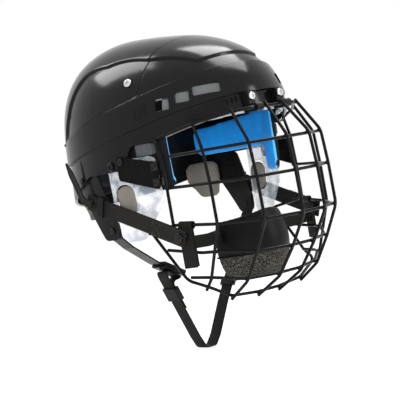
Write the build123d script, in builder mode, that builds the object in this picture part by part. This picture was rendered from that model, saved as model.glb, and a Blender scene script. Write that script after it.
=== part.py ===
"""Ice hockey helmet: two-piece shell, padded liner, ear guards, straps and a hinged wire cage.

Millimetres. Z is up, the face looks along -Y and the wearer's left is +X.
The origin lies between the ears, on the plane where the head form is widest.
"""
import math
import os
from functools import cache

from build123d import *

# Head form that both shells follow
shell_half_width = 109
shell_front_reach = 160
shell_rear_reach = 127
dome_height = 115
widest_height = 53
dome_lean = 6
round_power = 2.43
crown_power = 2.66
skirt_depth = 112
skirt_taper_share = 0.03
crown_steps = 7
skirt_steps = 4
bisect_rounds = 40
block_half_width = 180
block_reach = 230

# Shell walls and the seam between the two shells
shell_wall = 3
seam_gap = 1
seam_front_y = 77
seam_corner_height = 101
seam_corner_radius = 10
seam_fall = 12.8
arm_end_y = 68
underlap = 18
underlap_wall = 2
underlap_gap = 0.4
riser_length = 12
crown_flap_height = 132
tongue_low_height = 105
tongue_high_height = 127
tongue_rear_y = 42
tongue_drop = 3.4
slide_range = 8

# Rim of the shells, from the brow round to the nape
brow_rim_height = 68
temple_rim_height = 51
temple_rim_y = 92
temple_step_y = 62
ear_rim_height = 27
ear_step_y = 45
ear_rim_end_y = 10
rear_rim_height = 4
nape_rim_height = -10
rim_radius = 8

# Raised brow band
band_rise = 3
band_top_front_height = 124
band_top_middle_height = 112
band_top_middle_y = 125
band_top_side_height = 100
band_low_front_height = 86
band_low_middle_height = 66
band_low_middle_y = 66
band_low_rear_height = 42

# Vent windows in the band, on each side
vent_count = 3
vent_first_y = 107
vent_step_y = 18.5
vent_first_height = 88.2
vent_step_height = 4.7
vent_width = 15.5
vent_last_width = 29
vent_height = 12.5
vent_corner = 2
vent_depth = 15
vent_foam_thickness = 2.5
vent_foam_margin = 3
vent_foam_inner_x = 30

# Liner foam and comfort pads
soft_gap = 0.3
liner_thickness = 8
front_liner_rear_y = 99
rear_liner_front_y = 30
rear_liner_low_height = 88
side_pad_thickness = 9
side_pad_front_y = 95
side_pad_rear_y = 50
side_pad_top = 74
side_pad_leg_y = 68
side_pad_leg_low = -2
side_pad_low = 28
crown_pad_height = 150
crown_pad_thickness = 6
brow_pad_half_width = 62
brow_pad_low = 70
brow_pad_high = 104
brow_pad_thickness = 8
brow_strip_low = 58
brow_strip_wall = 4
occipital_half_width = 34
occipital_low = 12
occipital_high = 62
nape_pad_front_y = 28
nape_pad_rear_y = 66
nape_pad_low = -42
nape_pad_high = 22
nape_pad_thickness = 10

# Ear guards
guard_wall = 2
guard_front_y = 84
guard_rear_y = 20
guard_top = 38
guard_low = -50
guard_corner = 12
guard_screw_y = 30
guard_screw_height = 33.4
ear_pad_front_y = 52
ear_pad_rear_y = 24
ear_pad_top = 12
ear_pad_low = -22
ear_pad_thickness = 7
ear_pad_stand = 0.4

# Screws, nuts and rivets
screw_head_radius = 4.6
screw_head_height = 2.4
screw_shank_radius = 2
screw_clearance = 0.06
seat_gap = 0.15
size_screw_y = 62
size_screw_height = 117
nut_radius = 5.5
nut_height = 3
nut_gap = 0.6
rivet_head_radius = 4
rivet_head_height = 1.6
rivet_shank_radius = 1.8
cross_slot_width = 1
cross_slot_depth = 1.2

# Wire cage: half widths of the four uprights on each side, and each ring's height and reach
wire_radius = 1.7
wire_bend = 20
wire_bend_share = 0.45
wire_fit_rounds = 4
cage_half_width = 95.2
cage_reach = 210
cage_side_depth = 107
cage_top = 69
cage_height = 195
ring_gap = 0.1
upright_width_shares = (0.165, 0.546, 0.845, 1.0)
upright_depth_shares = (0.0, 0.17, 0.53, 1.0)
ring_height_shares = (1.0, 0.818, 0.636, 0.41, 0.24, 0.095, 0.0)
ring_reach_shares = (0.857, 0.981, 1.0, 1.0, 0.89, 0.767, 0.6)
ring_depth_shares = (0.79, 0.98, 1.0, 1.0, 0.8, 0.56, 0.1)
ring_rise_shares = (-0.08, 0.0, 0.015, 0.04, 0.106, 0.13, 0.25)
rise_power = 1.5
top_width_shares = (0.12, 0.495, 0.785, 1.0)
straight_half_width = 31
clip_bend = 10
side_end_y = 60
side_end_height = -44
jaw_middle_x = 88
jaw_middle_y = 102
jaw_middle_height = -97
fifth_middle_x = 84.5
fifth_middle_y = 127
fifth_middle_height = -70
fifth_end_y = 76
fifth_end_height = -64
sixth_end_y = 103
sixth_end_height = -95
wire_tail = 2

# Brow clips on the forehead, which carry the cage's top bar
clip_middle_x = 20.5
clip_width = 9
clip_wall = 2.6
clip_gap = 0.1
clip_face_y = 171.5
clip_top = 85.5
clip_screw_height = 80
clip_seat_gap = 0.15

# Temple parts
block_front_y = 86
block_rear_y = 67
block_low = 38.5
block_thickness = 5
panel_front_y = 97
panel_front_x = 98.9
panel_rear_y = 41
panel_rear_x = 106.4
panel_rear_top = 43
panel_front_top = 30
panel_rear_low = 17
panel_front_low = 1
panel_corner = 3
panel_thickness = 1.8
panel_rivet_y = 47
panel_rivet_height = 36.5
hook_wall = 1.8
hook_height = 8
hook_low_height = 9
hook_high_height = 25.5
hook_reach = 7
panel_slope_share = 0.2

# Rear anchors and side webbing
webbing_width = 18
webbing_thickness = 1.6
anchor_front_y = 18
anchor_middle_y = 6
anchor_rear_y = 36
anchor_top = 27.6
anchor_low = -46
anchor_rivet_y = 30
anchor_rivet_height = 23.4
side_strap_rear_y = 22
side_strap_front_y = 122
side_strap_rear_height = 0
side_strap_front_height = -53
side_strap_rear_x = 106.4
side_strap_front_x = 99.4
side_strap_fold = 50
strap_rivet_reach = 7
side_tail_rise = 46
side_tail_run = 24
tail_width_share = 0.5
tail_bend = 12
cage_tab_front_y = 124
cage_tab_rear_y = 108
cage_tab_low = -84
cage_tab_wall = 2
cage_tab_gap = 0.5
stud_radius = 3.5
stud_gap = 0.3
snap_radius = 5.5
snap_height = 2
snap_y = 116

# Chin strap, which hangs in a plane behind the chin
chin_plane_y = 8
chin_width = 18
chin_thickness = 1.6
chin_anchor_x = 99.7
chin_anchor_top = -28
chin_anchor_low = -44
chin_rivet_height = -36
chin_turn_x = 86
chin_turn_height = -57
buckle_high_x = 49
buckle_high_z = -83
buckle_low_x = 22
buckle_low_z = -98
chin_near_low_x = 14.5
chin_near_low_z = -172.5
chin_bottom_z = -187
chin_far_low_x = 16
chin_far_low_z = -176
chin_far_mid_x = 36
chin_far_mid_z = -141
chin_bend = 7
chin_tight_bend = 1.6
strand_gap = 0.4
buckle_width = 23
buckle_depth = 7
buckle_wall = 1.5
buckle_gap = 0.4
adjuster_reach = 34
adjuster_length = 16
adjuster_rim = 2.4
adjuster_wall = 1.5
adjuster_gap = 0.3
strand_tail_reach = 54
keeper_length = 8
keeper_wall = 1.5
keeper_share = 0.15
chin_keeper_share = 0.2

# Chin cup
cup_half_width = 45
cup_rear_y = 103
cup_reach = 50
cup_top = -38
cup_low = -110
cup_wall = 3
cup_pad_thickness = 9
cup_level_shares = (0.0, 0.25, 0.5, 0.75, 1.0)
cup_size_shares = (0.66, 0.93, 1.0, 0.97, 0.87)
cup_strap_thickness = 2
cup_strap_width = 14
cup_strap_height = -58

os.makedirs("parts", exist_ok=True)
front_offset = -shell_wall
liner_offset = -shell_wall - soft_gap
flange_outer = -shell_wall - underlap_gap
flange_inner = flange_outer - underlap_wall
tongue_outer = -shell_wall - tongue_drop
tongue_inner = tongue_outer - underlap_wall
guard_outer = -shell_wall - soft_gap
guard_inner = guard_outer - guard_wall
pad_outer = guard_inner - soft_gap
pad_inner = pad_outer - side_pad_thickness
vent_foam_inner = liner_offset - vent_foam_thickness
front_liner_outer = vent_foam_inner - soft_gap
front_liner_inner = front_liner_outer - liner_thickness
rear_liner_inner = liner_offset - liner_thickness

lean_sine = math.sin(math.radians(dome_lean))
lean_cosine = math.cos(math.radians(dome_lean))
lean = Plane(origin=(0, 0, 0), x_dir=(1, 0, 0), z_dir=(0, -lean_sine, lean_cosine))


def save(name, piece):
    """Labels a finished piece and writes it under its node's name."""
    piece.label = name
    export_step(piece, f"parts/{name}.step")


def form_levels(grow):
    """Share of the widest outline, and height, of each level of the head form."""
    rows = []
    for step in range(skirt_steps, 0, -1):
        share = step / skirt_steps
        rows.append((1 - skirt_taper_share * share**2, widest_height - skirt_depth * share))
    for step in range(crown_steps):
        angle = math.pi / 2 * step / crown_steps
        rise = (dome_height + grow) * math.sin(angle) ** (2 / crown_power)
        rows.append((math.cos(angle) ** (2 / round_power), widest_height + rise))
    return rows


@cache
def head_form(grow):
    """Solid head form, grown outwards from the shell's outer face."""
    half_width = shell_half_width + grow
    front_reach = shell_front_reach + grow
    rear_reach = shell_rear_reach + grow
    with BuildPart(mode=Mode.PRIVATE) as form:
        for share, height in form_levels(grow):
            with BuildSketch(lean.offset(height)):
                with BuildLine():
                    EllipticalCenterArc((0, 0), half_width * share, front_reach * share, 180, arc_size=180)
                    EllipticalCenterArc((0, 0), half_width * share, rear_reach * share, 0, arc_size=180)
                make_face()
        tip = lean.offset(widest_height + dome_height + grow).origin
        loft(sections=form.pending_faces + [Vertex(tip)])
    return form.part


@cache
def side_block(points, radii, low_x, high_x):
    """Block whose outline is drawn from the side, between two X planes."""
    with BuildPart(mode=Mode.PRIVATE) as block:
        with BuildSketch(Plane.YZ.offset(low_x)):
            with BuildLine():
                FilletPolyline(*points, radius=radii or [0] * len(points), close=True)
            make_face()
        extrude(amount=high_x - low_x)
    return block.part


def wall_slice(outer, inner, points, radii=None, low_x=-block_half_width, high_x=block_half_width):
    """Piece of the wall between two grown forms, inside an outline seen from the side."""
    with BuildPart(mode=Mode.PRIVATE) as piece:
        add(head_form(outer))
        add(side_block(tuple(points), radii, low_x, high_x), mode=Mode.INTERSECT)
        add(head_form(inner), mode=Mode.SUBTRACT)
    return piece.part


def form_side_x(y, z, grow=0):
    """Distance of the form's surface from the middle plane, at a place seen from the side."""
    along = y * lean_cosine + z * lean_sine
    up = z * lean_cosine - y * lean_sine
    reach = (shell_front_reach if along < 0 else shell_rear_reach) + grow
    if up > widest_height:
        share = (1 - ((up - widest_height) / (dome_height + grow)) ** crown_power) ** (1 / round_power)
    else:
        share = 1 - skirt_taper_share * ((widest_height - up) / skirt_depth) ** 2
    return (shell_half_width + grow) * math.sqrt(max(share**2 - (along / reach) ** 2, 0))


def form_front_y(x, z):
    """Y of the form's front surface at a place seen from the front."""
    low, high = 0.0, shell_front_reach + dome_height
    for _ in range(bisect_rounds):
        middle = (low + high) / 2
        if form_side_x(-middle, z) > abs(x):
            low = middle
        else:
            high = middle
    return -low


def surface_plane(y, z, side, grow=0):
    """Plane that lies on the form at a place seen from the side, facing outwards."""
    step = rivet_shank_radius
    x = form_side_x(y, z, grow)
    slope_y = (form_side_x(y + step, z, grow) - form_side_x(y - step, z, grow)) / (2 * step)
    slope_z = (form_side_x(y, z + step, grow) - form_side_x(y, z - step, grow)) / (2 * step)
    along = Vector(side * slope_y, 1, 0)
    return Plane(origin=(side * x, y, z), x_dir=along, z_dir=(side, -slope_y, -slope_z))


def seam_height(y):
    """Height of the sloping seam between the shells, at a distance along the side."""
    return seam_corner_height - (y + seam_front_y) * math.tan(math.radians(seam_fall))


# Side outlines of the two shells
block_top = widest_height + dome_height + block_half_width
front_outline = (
    (-seam_front_y, block_top),
    (-seam_front_y, seam_corner_height),
    (arm_end_y, seam_height(arm_end_y)),
    (arm_end_y, rear_rim_height),
    (ear_rim_end_y, ear_rim_height),
    (-ear_step_y, ear_rim_height),
    (-temple_step_y, temple_rim_height),
    (-temple_rim_y, temple_rim_height),
    (-block_reach, brow_rim_height + (brow_rim_height - temple_rim_height)),
    (-block_reach, block_top),
)
front_radii = (0, seam_corner_radius, 0, 0, rim_radius, rim_radius, rim_radius, rim_radius, 0, 0)
rear_outline = (
    (seam_gap - seam_front_y, block_top),
    (seam_gap - seam_front_y, seam_corner_height + seam_gap),
    (arm_end_y + seam_gap, seam_height(arm_end_y) + seam_gap),
    (arm_end_y + seam_gap, rear_rim_height),
    (shell_rear_reach, nape_rim_height),
    (block_reach, nape_rim_height),
    (block_reach, block_top),
)
rear_radii = (0, seam_corner_radius, 0, 0, 0, 0, 0)
band_outline = (
    (-block_reach, band_top_front_height),
    (-shell_front_reach, band_top_front_height),
    (-band_top_middle_y, band_top_middle_height),
    (-seam_front_y, band_top_side_height),
    (arm_end_y, seam_height(arm_end_y)),
    (arm_end_y, band_low_rear_height),
    (-band_low_middle_y, band_low_middle_height),
    (-shell_front_reach, band_low_front_height),
    (-block_reach, band_low_front_height),
)


def vent_place(index, side, grow):
    """Plane at the middle of a vent window."""
    y = -vent_first_y - index * vent_step_y
    return surface_plane(y, vent_first_height + index * vent_step_height, side, grow)


# Fasteners that hold side parts on the shell: each place is on the left, facing outwards
guard_screw_place = surface_plane(-guard_screw_y, guard_screw_height, 1, seat_gap)
anchor_rivet_place = surface_plane(anchor_rivet_y, anchor_rivet_height, 1, seat_gap)
panel_plane = Plane(
    origin=(panel_rear_x, -panel_rear_y, 0),
    x_dir=(panel_rear_x - panel_front_x, panel_front_y - panel_rear_y, 0),
    z_dir=(panel_front_y - panel_rear_y, panel_front_x - panel_rear_x, 0),
)
panel_run = panel_front_y - panel_rear_y
panel_stretch = math.hypot(panel_rear_x - panel_front_x, panel_run) / panel_run


def panel_along(y):
    """Distance along the temple panel of a place given by its distance in front of the ears."""
    return (panel_rear_y - y) * panel_stretch


def on_plane(plane, along, up, out=0):
    """The same plane, moved along itself and outwards."""
    return Plane(origin=plane.from_local_coords((along, up, out)), x_dir=plane.x_dir, z_dir=plane.z_dir)


def depth_to(place, grow):
    """How deep below a place on the left its axis meets the form grown by an amount."""
    low, high = 0, block_half_width / 2
    for _ in range(bisect_rounds):
        middle = (low + high) / 2
        spot = place.origin - place.z_dir * middle
        if spot.X > form_side_x(spot.Y, spot.Z, grow):
            low = middle
        else:
            high = middle
    return low


def to_right(place):
    """A place on the wearer's left, mirrored to the right."""
    return Plane(
        origin=(-place.origin.X, place.origin.Y, place.origin.Z),
        x_dir=(-place.x_dir.X, place.x_dir.Y, place.x_dir.Z),
        z_dir=(-place.z_dir.X, place.z_dir.Y, place.z_dir.Z),
    )


size_place = surface_plane(-size_screw_y, size_screw_height, 1, seat_gap)
slide_across = Vector(0, 1, 0) - size_place.z_dir * size_place.z_dir.Y
slot_place = Plane(
    origin=size_place.origin + Vector(0, slide_range / 2, 0), x_dir=slide_across, z_dir=size_place.z_dir
)
panel_rivet_place = on_plane(panel_plane, panel_along(panel_rivet_y), panel_rivet_height, panel_thickness)
clip_screw_place = Plane(
    origin=(clip_middle_x, -clip_face_y, clip_screw_height), x_dir=(1, 0, 0), z_dir=(0, -1, 0)
)


def hole(place, radius):
    """Clearance hole for a fastener, as a rod to take away."""
    with BuildPart(mode=Mode.PRIVATE) as rod:
        with BuildSketch(place):
            Circle(radius + screw_clearance)
        extrude(amount=vent_depth * 2, both=True)
    return rod.part


shell_holes = (
    (guard_screw_place, screw_shank_radius),
    (anchor_rivet_place, rivet_shank_radius),
    (panel_rivet_place, rivet_shank_radius),
    (clip_screw_place, screw_shank_radius),
)

# Front shell: forehead, raised band and the arms that run back along the sides
with BuildPart() as band:
    add(head_form(band_rise))
    add(side_block(band_outline, None, -block_half_width, block_half_width), mode=Mode.INTERSECT)
with BuildPart() as front_shell:
    add(head_form(0))
    add(side_block(front_outline, front_radii, -block_half_width, block_half_width), mode=Mode.INTERSECT)
    add(band.part)
    add(head_form(front_offset), mode=Mode.SUBTRACT)
    for side in (-1, 1):
        for index in range(vent_count):
            width = vent_last_width if index == vent_count - 1 else vent_width
            with BuildSketch(vent_place(index, side, 2 * band_rise)):
                RectangleRounded(width, vent_height, vent_corner)
            extrude(amount=-vent_depth, mode=Mode.SUBTRACT)

# Flanges of the front shell that run on under the rear shell
arm_flange = (
    (arm_end_y - riser_length / 2, seam_height(arm_end_y) - shell_wall),
    (arm_end_y + underlap, seam_height(arm_end_y + underlap) - shell_wall),
    (arm_end_y + underlap, rear_rim_height + shell_wall),
    (arm_end_y - riser_length / 2, rear_rim_height + shell_wall),
)
arm_riser = (
    (arm_end_y - riser_length, seam_height(arm_end_y) - shell_wall),
    (arm_end_y - shell_wall, seam_height(arm_end_y) - shell_wall),
    (arm_end_y - shell_wall, rear_rim_height + shell_wall),
    (arm_end_y - riser_length, rear_rim_height + riser_length),
)
tongue = (
    (-seam_front_y - riser_length, tongue_high_height),
    (-tongue_rear_y, tongue_high_height),
    (-tongue_rear_y, tongue_low_height),
    (-seam_front_y - riser_length, tongue_low_height),
)
tongue_riser = (
    (-seam_front_y - riser_length, tongue_high_height),
    (-seam_front_y - shell_wall, tongue_high_height),
    (-seam_front_y - shell_wall, tongue_low_height),
    (-seam_front_y - riser_length, tongue_low_height),
)
root_sink = shell_wall / 2
with BuildPart() as front_flanges:
    add(wall_slice(flange_outer, flange_inner, arm_flange))
    add(wall_slice(-root_sink, flange_inner, arm_riser))
    add(wall_slice(tongue_outer, tongue_inner, tongue))
    add(wall_slice(-root_sink, tongue_inner, tongue_riser))
    for place in (slot_place, to_right(slot_place)):
        with BuildSketch(place):
            SlotCenterToCenter(slide_range, 2 * (screw_shank_radius + soft_gap))
        extrude(amount=-vent_depth, mode=Mode.SUBTRACT)
with BuildPart() as front_shell_piece:
    add(front_shell.part)
    add(front_flanges.part)
    for place, radius in shell_holes:
        add(hole(place, radius), mode=Mode.SUBTRACT)
        add(hole(to_right(place), radius), mode=Mode.SUBTRACT)
save("front_shell", front_shell_piece.part)

# Rear shell: crown and back, with a flap that runs on under the front shell
crown_flap = (
    (-seam_front_y - underlap, block_top),
    (-seam_front_y + riser_length, block_top),
    (-seam_front_y + riser_length, crown_flap_height),
    (-seam_front_y - underlap, crown_flap_height),
)
crown_riser = (
    (-seam_front_y + shell_wall, block_top),
    (-seam_front_y + riser_length, block_top),
    (-seam_front_y + riser_length, crown_flap_height),
    (-seam_front_y + shell_wall, crown_flap_height),
)
with BuildPart() as rear_shell:
    add(head_form(0))
    add(side_block(rear_outline, rear_radii, -block_half_width, block_half_width), mode=Mode.INTERSECT)
    add(head_form(front_offset), mode=Mode.SUBTRACT)
    add(wall_slice(flange_outer, flange_inner, crown_flap))
    add(wall_slice(-root_sink, flange_inner, crown_riser))
    add(hole(size_place, screw_shank_radius), mode=Mode.SUBTRACT)
    add(hole(to_right(size_place), screw_shank_radius), mode=Mode.SUBTRACT)
save("rear_shell", rear_shell.part)


def save_pair(name, left):
    """Writes a piece of the wearer's left side, and its mirror image on the right."""
    save(f"{name}_left", left)
    save(f"{name}_right", mirror(left, about=Plane.YZ, mode=Mode.PRIVATE))


def both_sides(left):
    """A group of fasteners of the left side together with their mirror images."""
    with BuildPart(mode=Mode.PRIVATE) as group:
        add(left)
        mirror(left, about=Plane.YZ)
    return group.part


def save_group(name, left):
    """Writes a piece of the left side and its mirror image as one node of two solids."""
    save(name, both_sides(left))


def wall_pair(name, outer, inner, points, radii=None):
    """A pair of pieces of the wall, one on each side."""
    save_pair(name, wall_slice(outer, inner, points, radii, low_x=0))


def wall_group(name, outer, inner, points, radii=None):
    """A pair of pieces of the wall that share a node."""
    save_group(name, wall_slice(outer, inner, points, radii, low_x=0))


def screw(place, shank_length, head_radius=screw_head_radius, head_height=screw_head_height,
          shank_radius=screw_shank_radius, slotted=True):
    """Round-headed fastener whose head sits on a plane, with a crossed recess."""
    with BuildPart(mode=Mode.PRIVATE) as fastener:
        with BuildSketch(place):
            Circle(head_radius)
        extrude(amount=head_height)
        fillet(fastener.faces().sort_by(Axis(place.origin, place.z_dir))[-1].edges(), head_height / 2)
        with BuildSketch(place):
            Circle(shank_radius)
        extrude(amount=-shank_length)
        if slotted:
            with BuildSketch(place.offset(head_height)):
                Rectangle(head_radius, cross_slot_width)
                Rectangle(cross_slot_width, head_radius)
            extrude(amount=-cross_slot_depth, mode=Mode.SUBTRACT)
    return fastener.part


def rivet(place, shank_length):
    """Rivet whose head sits on a plane."""
    return screw(place, shank_length, rivet_head_radius, rivet_head_height, rivet_shank_radius, slotted=False)


def box_outline(low_y, high_y, low_z, high_z):
    """Rectangle seen from the side."""
    return ((low_y, low_z), (high_y, low_z), (high_y, high_z), (low_y, high_z))


# Size screws through the rear shell and the front shell's tongues, with their nuts inside
nut_depth = depth_to(size_place, tongue_inner) + nut_gap
save_group("size_screws", screw(size_place, nut_depth + nut_height))
with BuildPart() as size_nut:
    with BuildSketch(size_place.offset(-nut_depth)):
        RegularPolygon(nut_radius, 6)
        Circle(screw_shank_radius + screw_clearance, mode=Mode.SUBTRACT)
    extrude(amount=-nut_height)
save_group("size_nuts", size_nut.part)

# Foam behind the vent windows
vent_last_y = vent_first_y + (vent_count - 1) * vent_step_y
vent_last_height = vent_first_height + (vent_count - 1) * vent_step_height
foam_half = vent_height / 2 + vent_foam_margin
vent_foam = (
    (-vent_first_y + vent_width / 2, vent_first_height - foam_half),
    (-vent_first_y + vent_width / 2, vent_first_height + foam_half),
    (-vent_last_y - vent_last_width / 2, vent_last_height + foam_half),
    (-vent_last_y - vent_last_width / 2, vent_last_height - foam_half),
)
save_group("vent_foams", wall_slice(liner_offset, vent_foam_inner, vent_foam, low_x=vent_foam_inner_x))

# Liner foam of the front shell, and of the rear shell, which slides with it
front_liner_outline = (
    (-front_liner_rear_y, crown_flap_height + riser_length),
    (-front_liner_rear_y, brow_rim_height + shell_wall),
    (-block_reach, brow_rim_height + band_rise + riser_length),
    (-block_reach, crown_flap_height + riser_length),
)
save("front_liner", wall_slice(front_liner_outer, front_liner_inner, front_liner_outline))
rear_liner_outline = (
    (-seam_front_y + riser_length + shell_wall, block_top),
    (-seam_front_y + riser_length + shell_wall, crown_flap_height),
    (-rear_liner_front_y, crown_flap_height),
    (-rear_liner_front_y, rear_liner_low_height + shell_wall),
    (arm_end_y + underlap + shell_wall, rear_liner_low_height - riser_length),
    (arm_end_y + underlap + shell_wall, nape_rim_height + riser_length),
    (block_reach, nape_rim_height + riser_length),
    (block_reach, block_top),
)
save("rear_liner", wall_slice(liner_offset, rear_liner_inner, rear_liner_outline))

# Comfort pads: crown, brow, brow strip, sides, back of the head and nape
crown_pad_front_y = -seam_front_y + riser_length + shell_wall
crown_pad_outline = box_outline(crown_pad_front_y, arm_end_y, crown_pad_height, block_top)
crown_pad_outer = rear_liner_inner - soft_gap
save("crown_pad", wall_slice(crown_pad_outer, crown_pad_outer - crown_pad_thickness, crown_pad_outline))
brow_pad_outer = front_liner_inner - soft_gap
brow_pad_outline = box_outline(-block_reach, -front_liner_rear_y, brow_pad_low + riser_length, brow_pad_high)
with BuildPart() as brow_pad:
    add(wall_slice(
        brow_pad_outer, brow_pad_outer - brow_pad_thickness, brow_pad_outline,
        low_x=-brow_pad_half_width, high_x=brow_pad_half_width,
    ))
save("brow_pad", brow_pad.part)
brow_strip_outline = (
    (-front_liner_rear_y, brow_rim_height - shell_wall),
    (-front_liner_rear_y, brow_strip_low),
    (-block_reach, brow_strip_low + riser_length),
    (-block_reach, brow_rim_height + riser_length),
)
save("brow_strip", wall_slice(
    liner_offset, liner_offset - brow_strip_wall, brow_strip_outline,
))
side_pad_outline = (
    (-side_pad_front_y, side_pad_top),
    (-side_pad_front_y, side_pad_leg_low),
    (-side_pad_leg_y, side_pad_leg_low),
    (-side_pad_leg_y, side_pad_low),
    (side_pad_rear_y, side_pad_low),
    (side_pad_rear_y, side_pad_top - riser_length),
)
side_pad_radii = (rim_radius, rim_radius, rim_radius, rim_radius / 2, rim_radius, rim_radius)
wall_pair("side_pad", pad_outer, pad_inner, side_pad_outline, side_pad_radii)
occipital_outline = box_outline(arm_end_y, block_reach, occipital_low, occipital_high)
occipital_outer = rear_liner_inner - soft_gap
save("occipital_pad", wall_slice(
    occipital_outer, occipital_outer - side_pad_thickness, occipital_outline,
    low_x=-occipital_half_width, high_x=occipital_half_width,
))
nape_outline = box_outline(nape_pad_front_y, nape_pad_rear_y, nape_pad_low, nape_pad_high)
wall_group("nape_pads", pad_outer, pad_outer - nape_pad_thickness, nape_outline, (rim_radius,) * 4)

# Clear ear guards with a pad in each
ear_hole = box_outline(-ear_pad_front_y, -ear_pad_rear_y, ear_pad_low, ear_pad_top)
guard_outline = (
    (-guard_front_y, guard_top),
    (-guard_front_y, ear_pad_low / 2),
    (-ear_pad_front_y, guard_low),
    (-ear_pad_rear_y, guard_low),
    (-guard_rear_y, ear_pad_low),
    (-guard_rear_y, guard_top),
)
guard_radii = (rim_radius, guard_corner, guard_corner, guard_corner, rim_radius, rim_radius)
ear_hole_radii = (guard_corner,) * 4
with BuildPart() as ear_guard:
    add(wall_slice(guard_outer, guard_inner, guard_outline, guard_radii, low_x=0))
    add(side_block(ear_hole, ear_hole_radii, 0, block_half_width), mode=Mode.SUBTRACT)
    add(hole(guard_screw_place, screw_shank_radius), mode=Mode.SUBTRACT)
save_pair("ear_guard", ear_guard.part)
ear_pad_outline = box_outline(
    -ear_pad_front_y + soft_gap, -ear_pad_rear_y - soft_gap, ear_pad_low + soft_gap, ear_pad_top - soft_gap
)
ear_pad_outer = guard_outer + ear_pad_stand
wall_group("ear_pads", ear_pad_outer, guard_outer - ear_pad_thickness, ear_pad_outline, ear_hole_radii)

# Rubber temple blocks under the rim
block_outline = box_outline(-block_front_y, -block_rear_y, block_low, temple_rim_height - soft_gap)
wall_group("temple_blocks", -underlap_gap, -block_thickness, block_outline, (underlap_wall,) * 4)
save_group("guard_screws", screw(guard_screw_place, depth_to(guard_screw_place, guard_inner)))


# Wire cage
def cage_point(ring, upright, side):
    """Where a ring and an upright cross, halfway between the two wires."""
    depth_share = upright_depth_shares[upright]
    width_shares = upright_width_shares if ring else top_width_shares
    rise = cage_height * ring_rise_shares[ring] * depth_share**rise_power
    return Vector(
        side * cage_half_width * width_shares[upright],
        cage_side_depth * depth_share * ring_depth_shares[ring] - cage_reach * ring_reach_shares[ring],
        cage_top - cage_height * (1 - ring_height_shares[ring]) + rise,
    )


def cage_normal(ring, upright):
    """Outward direction of the cage at a crossing on the left, square to both wires."""
    last_upright, last_ring = len(upright_width_shares) - 1, len(ring_height_shares) - 1
    inner = cage_point(ring, upright - 1, 1) if upright else cage_point(ring, 0, -1)
    across = cage_point(ring, min(upright + 1, last_upright), 1) - inner
    down = cage_point(min(ring + 1, last_ring), upright, 1) - cage_point(max(ring - 1, 0), upright, 1)
    return down.cross(across).normalized()


def wire_point(ring, upright, outwards):
    """Point on a wire's middle line at a crossing on the left, outside (1) or inside (-1) it."""
    shift = outwards * (wire_radius + ring_gap / 2)
    return cage_point(ring, upright, 1) + cage_normal(ring, upright) * shift


def mirrored(point):
    """A point of the left side on the right."""
    return Vector(-point.X, point.Y, point.Z)


def smooth_path(points, kept=()):
    """Line of straight runs and tangent arcs through each point, but with the kept corners as they are."""
    corners = list(points)
    radii = [0] * len(points)
    for _ in range(wire_fit_rounds):
        moved = list(corners)
        for index in range(1, len(points) - 1):
            arriving = (corners[index] - corners[index - 1]).normalized()
            leaving = (corners[index + 1] - corners[index]).normalized()
            half_turn = math.radians(arriving.get_angle(leaving)) / 2
            run_before = (corners[index] - corners[index - 1]).length
            shorter = min(run_before, (corners[index + 1] - corners[index]).length)
            largest = clip_bend if index in kept else wire_bend
            radii[index] = min(largest, wire_bend_share * shorter / math.tan(half_turn))
            if index not in kept:
                rise = radii[index] * (1 / math.cos(half_turn) - 1)
                moved[index] = points[index] + (arriving - leaving).normalized() * rise
        corners = moved
    with BuildLine(mode=Mode.PRIVATE) as path:
        FilletPolyline(*corners, radius=radii[1:-1])
    return path.wires()[0]


def wire(path, radius=wire_radius):
    """Round wire along a path."""
    with BuildPart(mode=Mode.PRIVATE) as rod:
        with BuildSketch(Plane(origin=path @ 0, z_dir=path % 0)):
            Circle(radius)
        sweep(path=path)
    return rod.part


def past(point, before, length=wire_tail):
    """Point a short way past the last one, in line with the one before it."""
    return point + (point - before).normalized() * length


top_ring, side_ring, fifth_ring, sixth_ring, jaw_ring = 0, 3, 4, 5, 6
side_upright = len(upright_width_shares) - 1


def ring_half(ring):
    """Points of a ring on the left, from the middle outwards, as far as its uprights go."""
    uprights = range(side_upright + 1) if ring <= side_ring else range(side_upright)
    return [wire_point(ring, upright, -1) for upright in uprights]


inside_step = Vector(2 * wire_radius + ring_gap, 0, 0)
side_end = Vector(cage_half_width, -side_end_y, side_end_height)
jaw_start = side_end - inside_step
jaw_middle = Vector(jaw_middle_x, -jaw_middle_y, jaw_middle_height)


def jaw_x(height):
    """Distance of the jaw bar's side stretch from the middle plane, at a height."""
    share = (height - jaw_start.Z) / (jaw_middle.Z - jaw_start.Z)
    return jaw_start.X + share * (jaw_middle.X - jaw_start.X)


def ring_points(ring):
    """Points of half a ring, with its own ending at the side."""
    half = ring_half(ring)
    if ring == top_ring:
        straight = half[0]
        half = [Vector(straight_half_width, straight.Y, straight.Z)] + half[1:]
    if ring < side_ring:
        half.append(past(half[-1], half[-2]))
    if ring == side_ring:
        half.append(side_end)
    if ring == fifth_ring:
        half.append(Vector(fifth_middle_x, -fifth_middle_y, fifth_middle_height))
        half.append(Vector(jaw_x(fifth_end_height), -fifth_end_y, fifth_end_height) - inside_step)
    if ring == sixth_ring:
        half.append(Vector(jaw_x(sixth_end_height), -sixth_end_y, sixth_end_height) - inside_step)
    if ring == jaw_ring:
        half += [jaw_middle, jaw_start]
    return half


def ring_path(ring):
    """Middle line of a whole ring."""
    half = ring_points(ring)
    kept = (len(half) - 1, len(half)) if ring == top_ring else ()
    return smooth_path([mirrored(point) for point in reversed(half)] + half, kept)


def upright_path(upright):
    """Middle line of an upright on the left."""
    last = side_ring if upright == side_upright else jaw_ring
    points = [wire_point(ring, upright, 1) for ring in range(last + 1)]
    return smooth_path([past(points[0], points[1])] + points + [past(points[-1], points[-2])])


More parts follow.
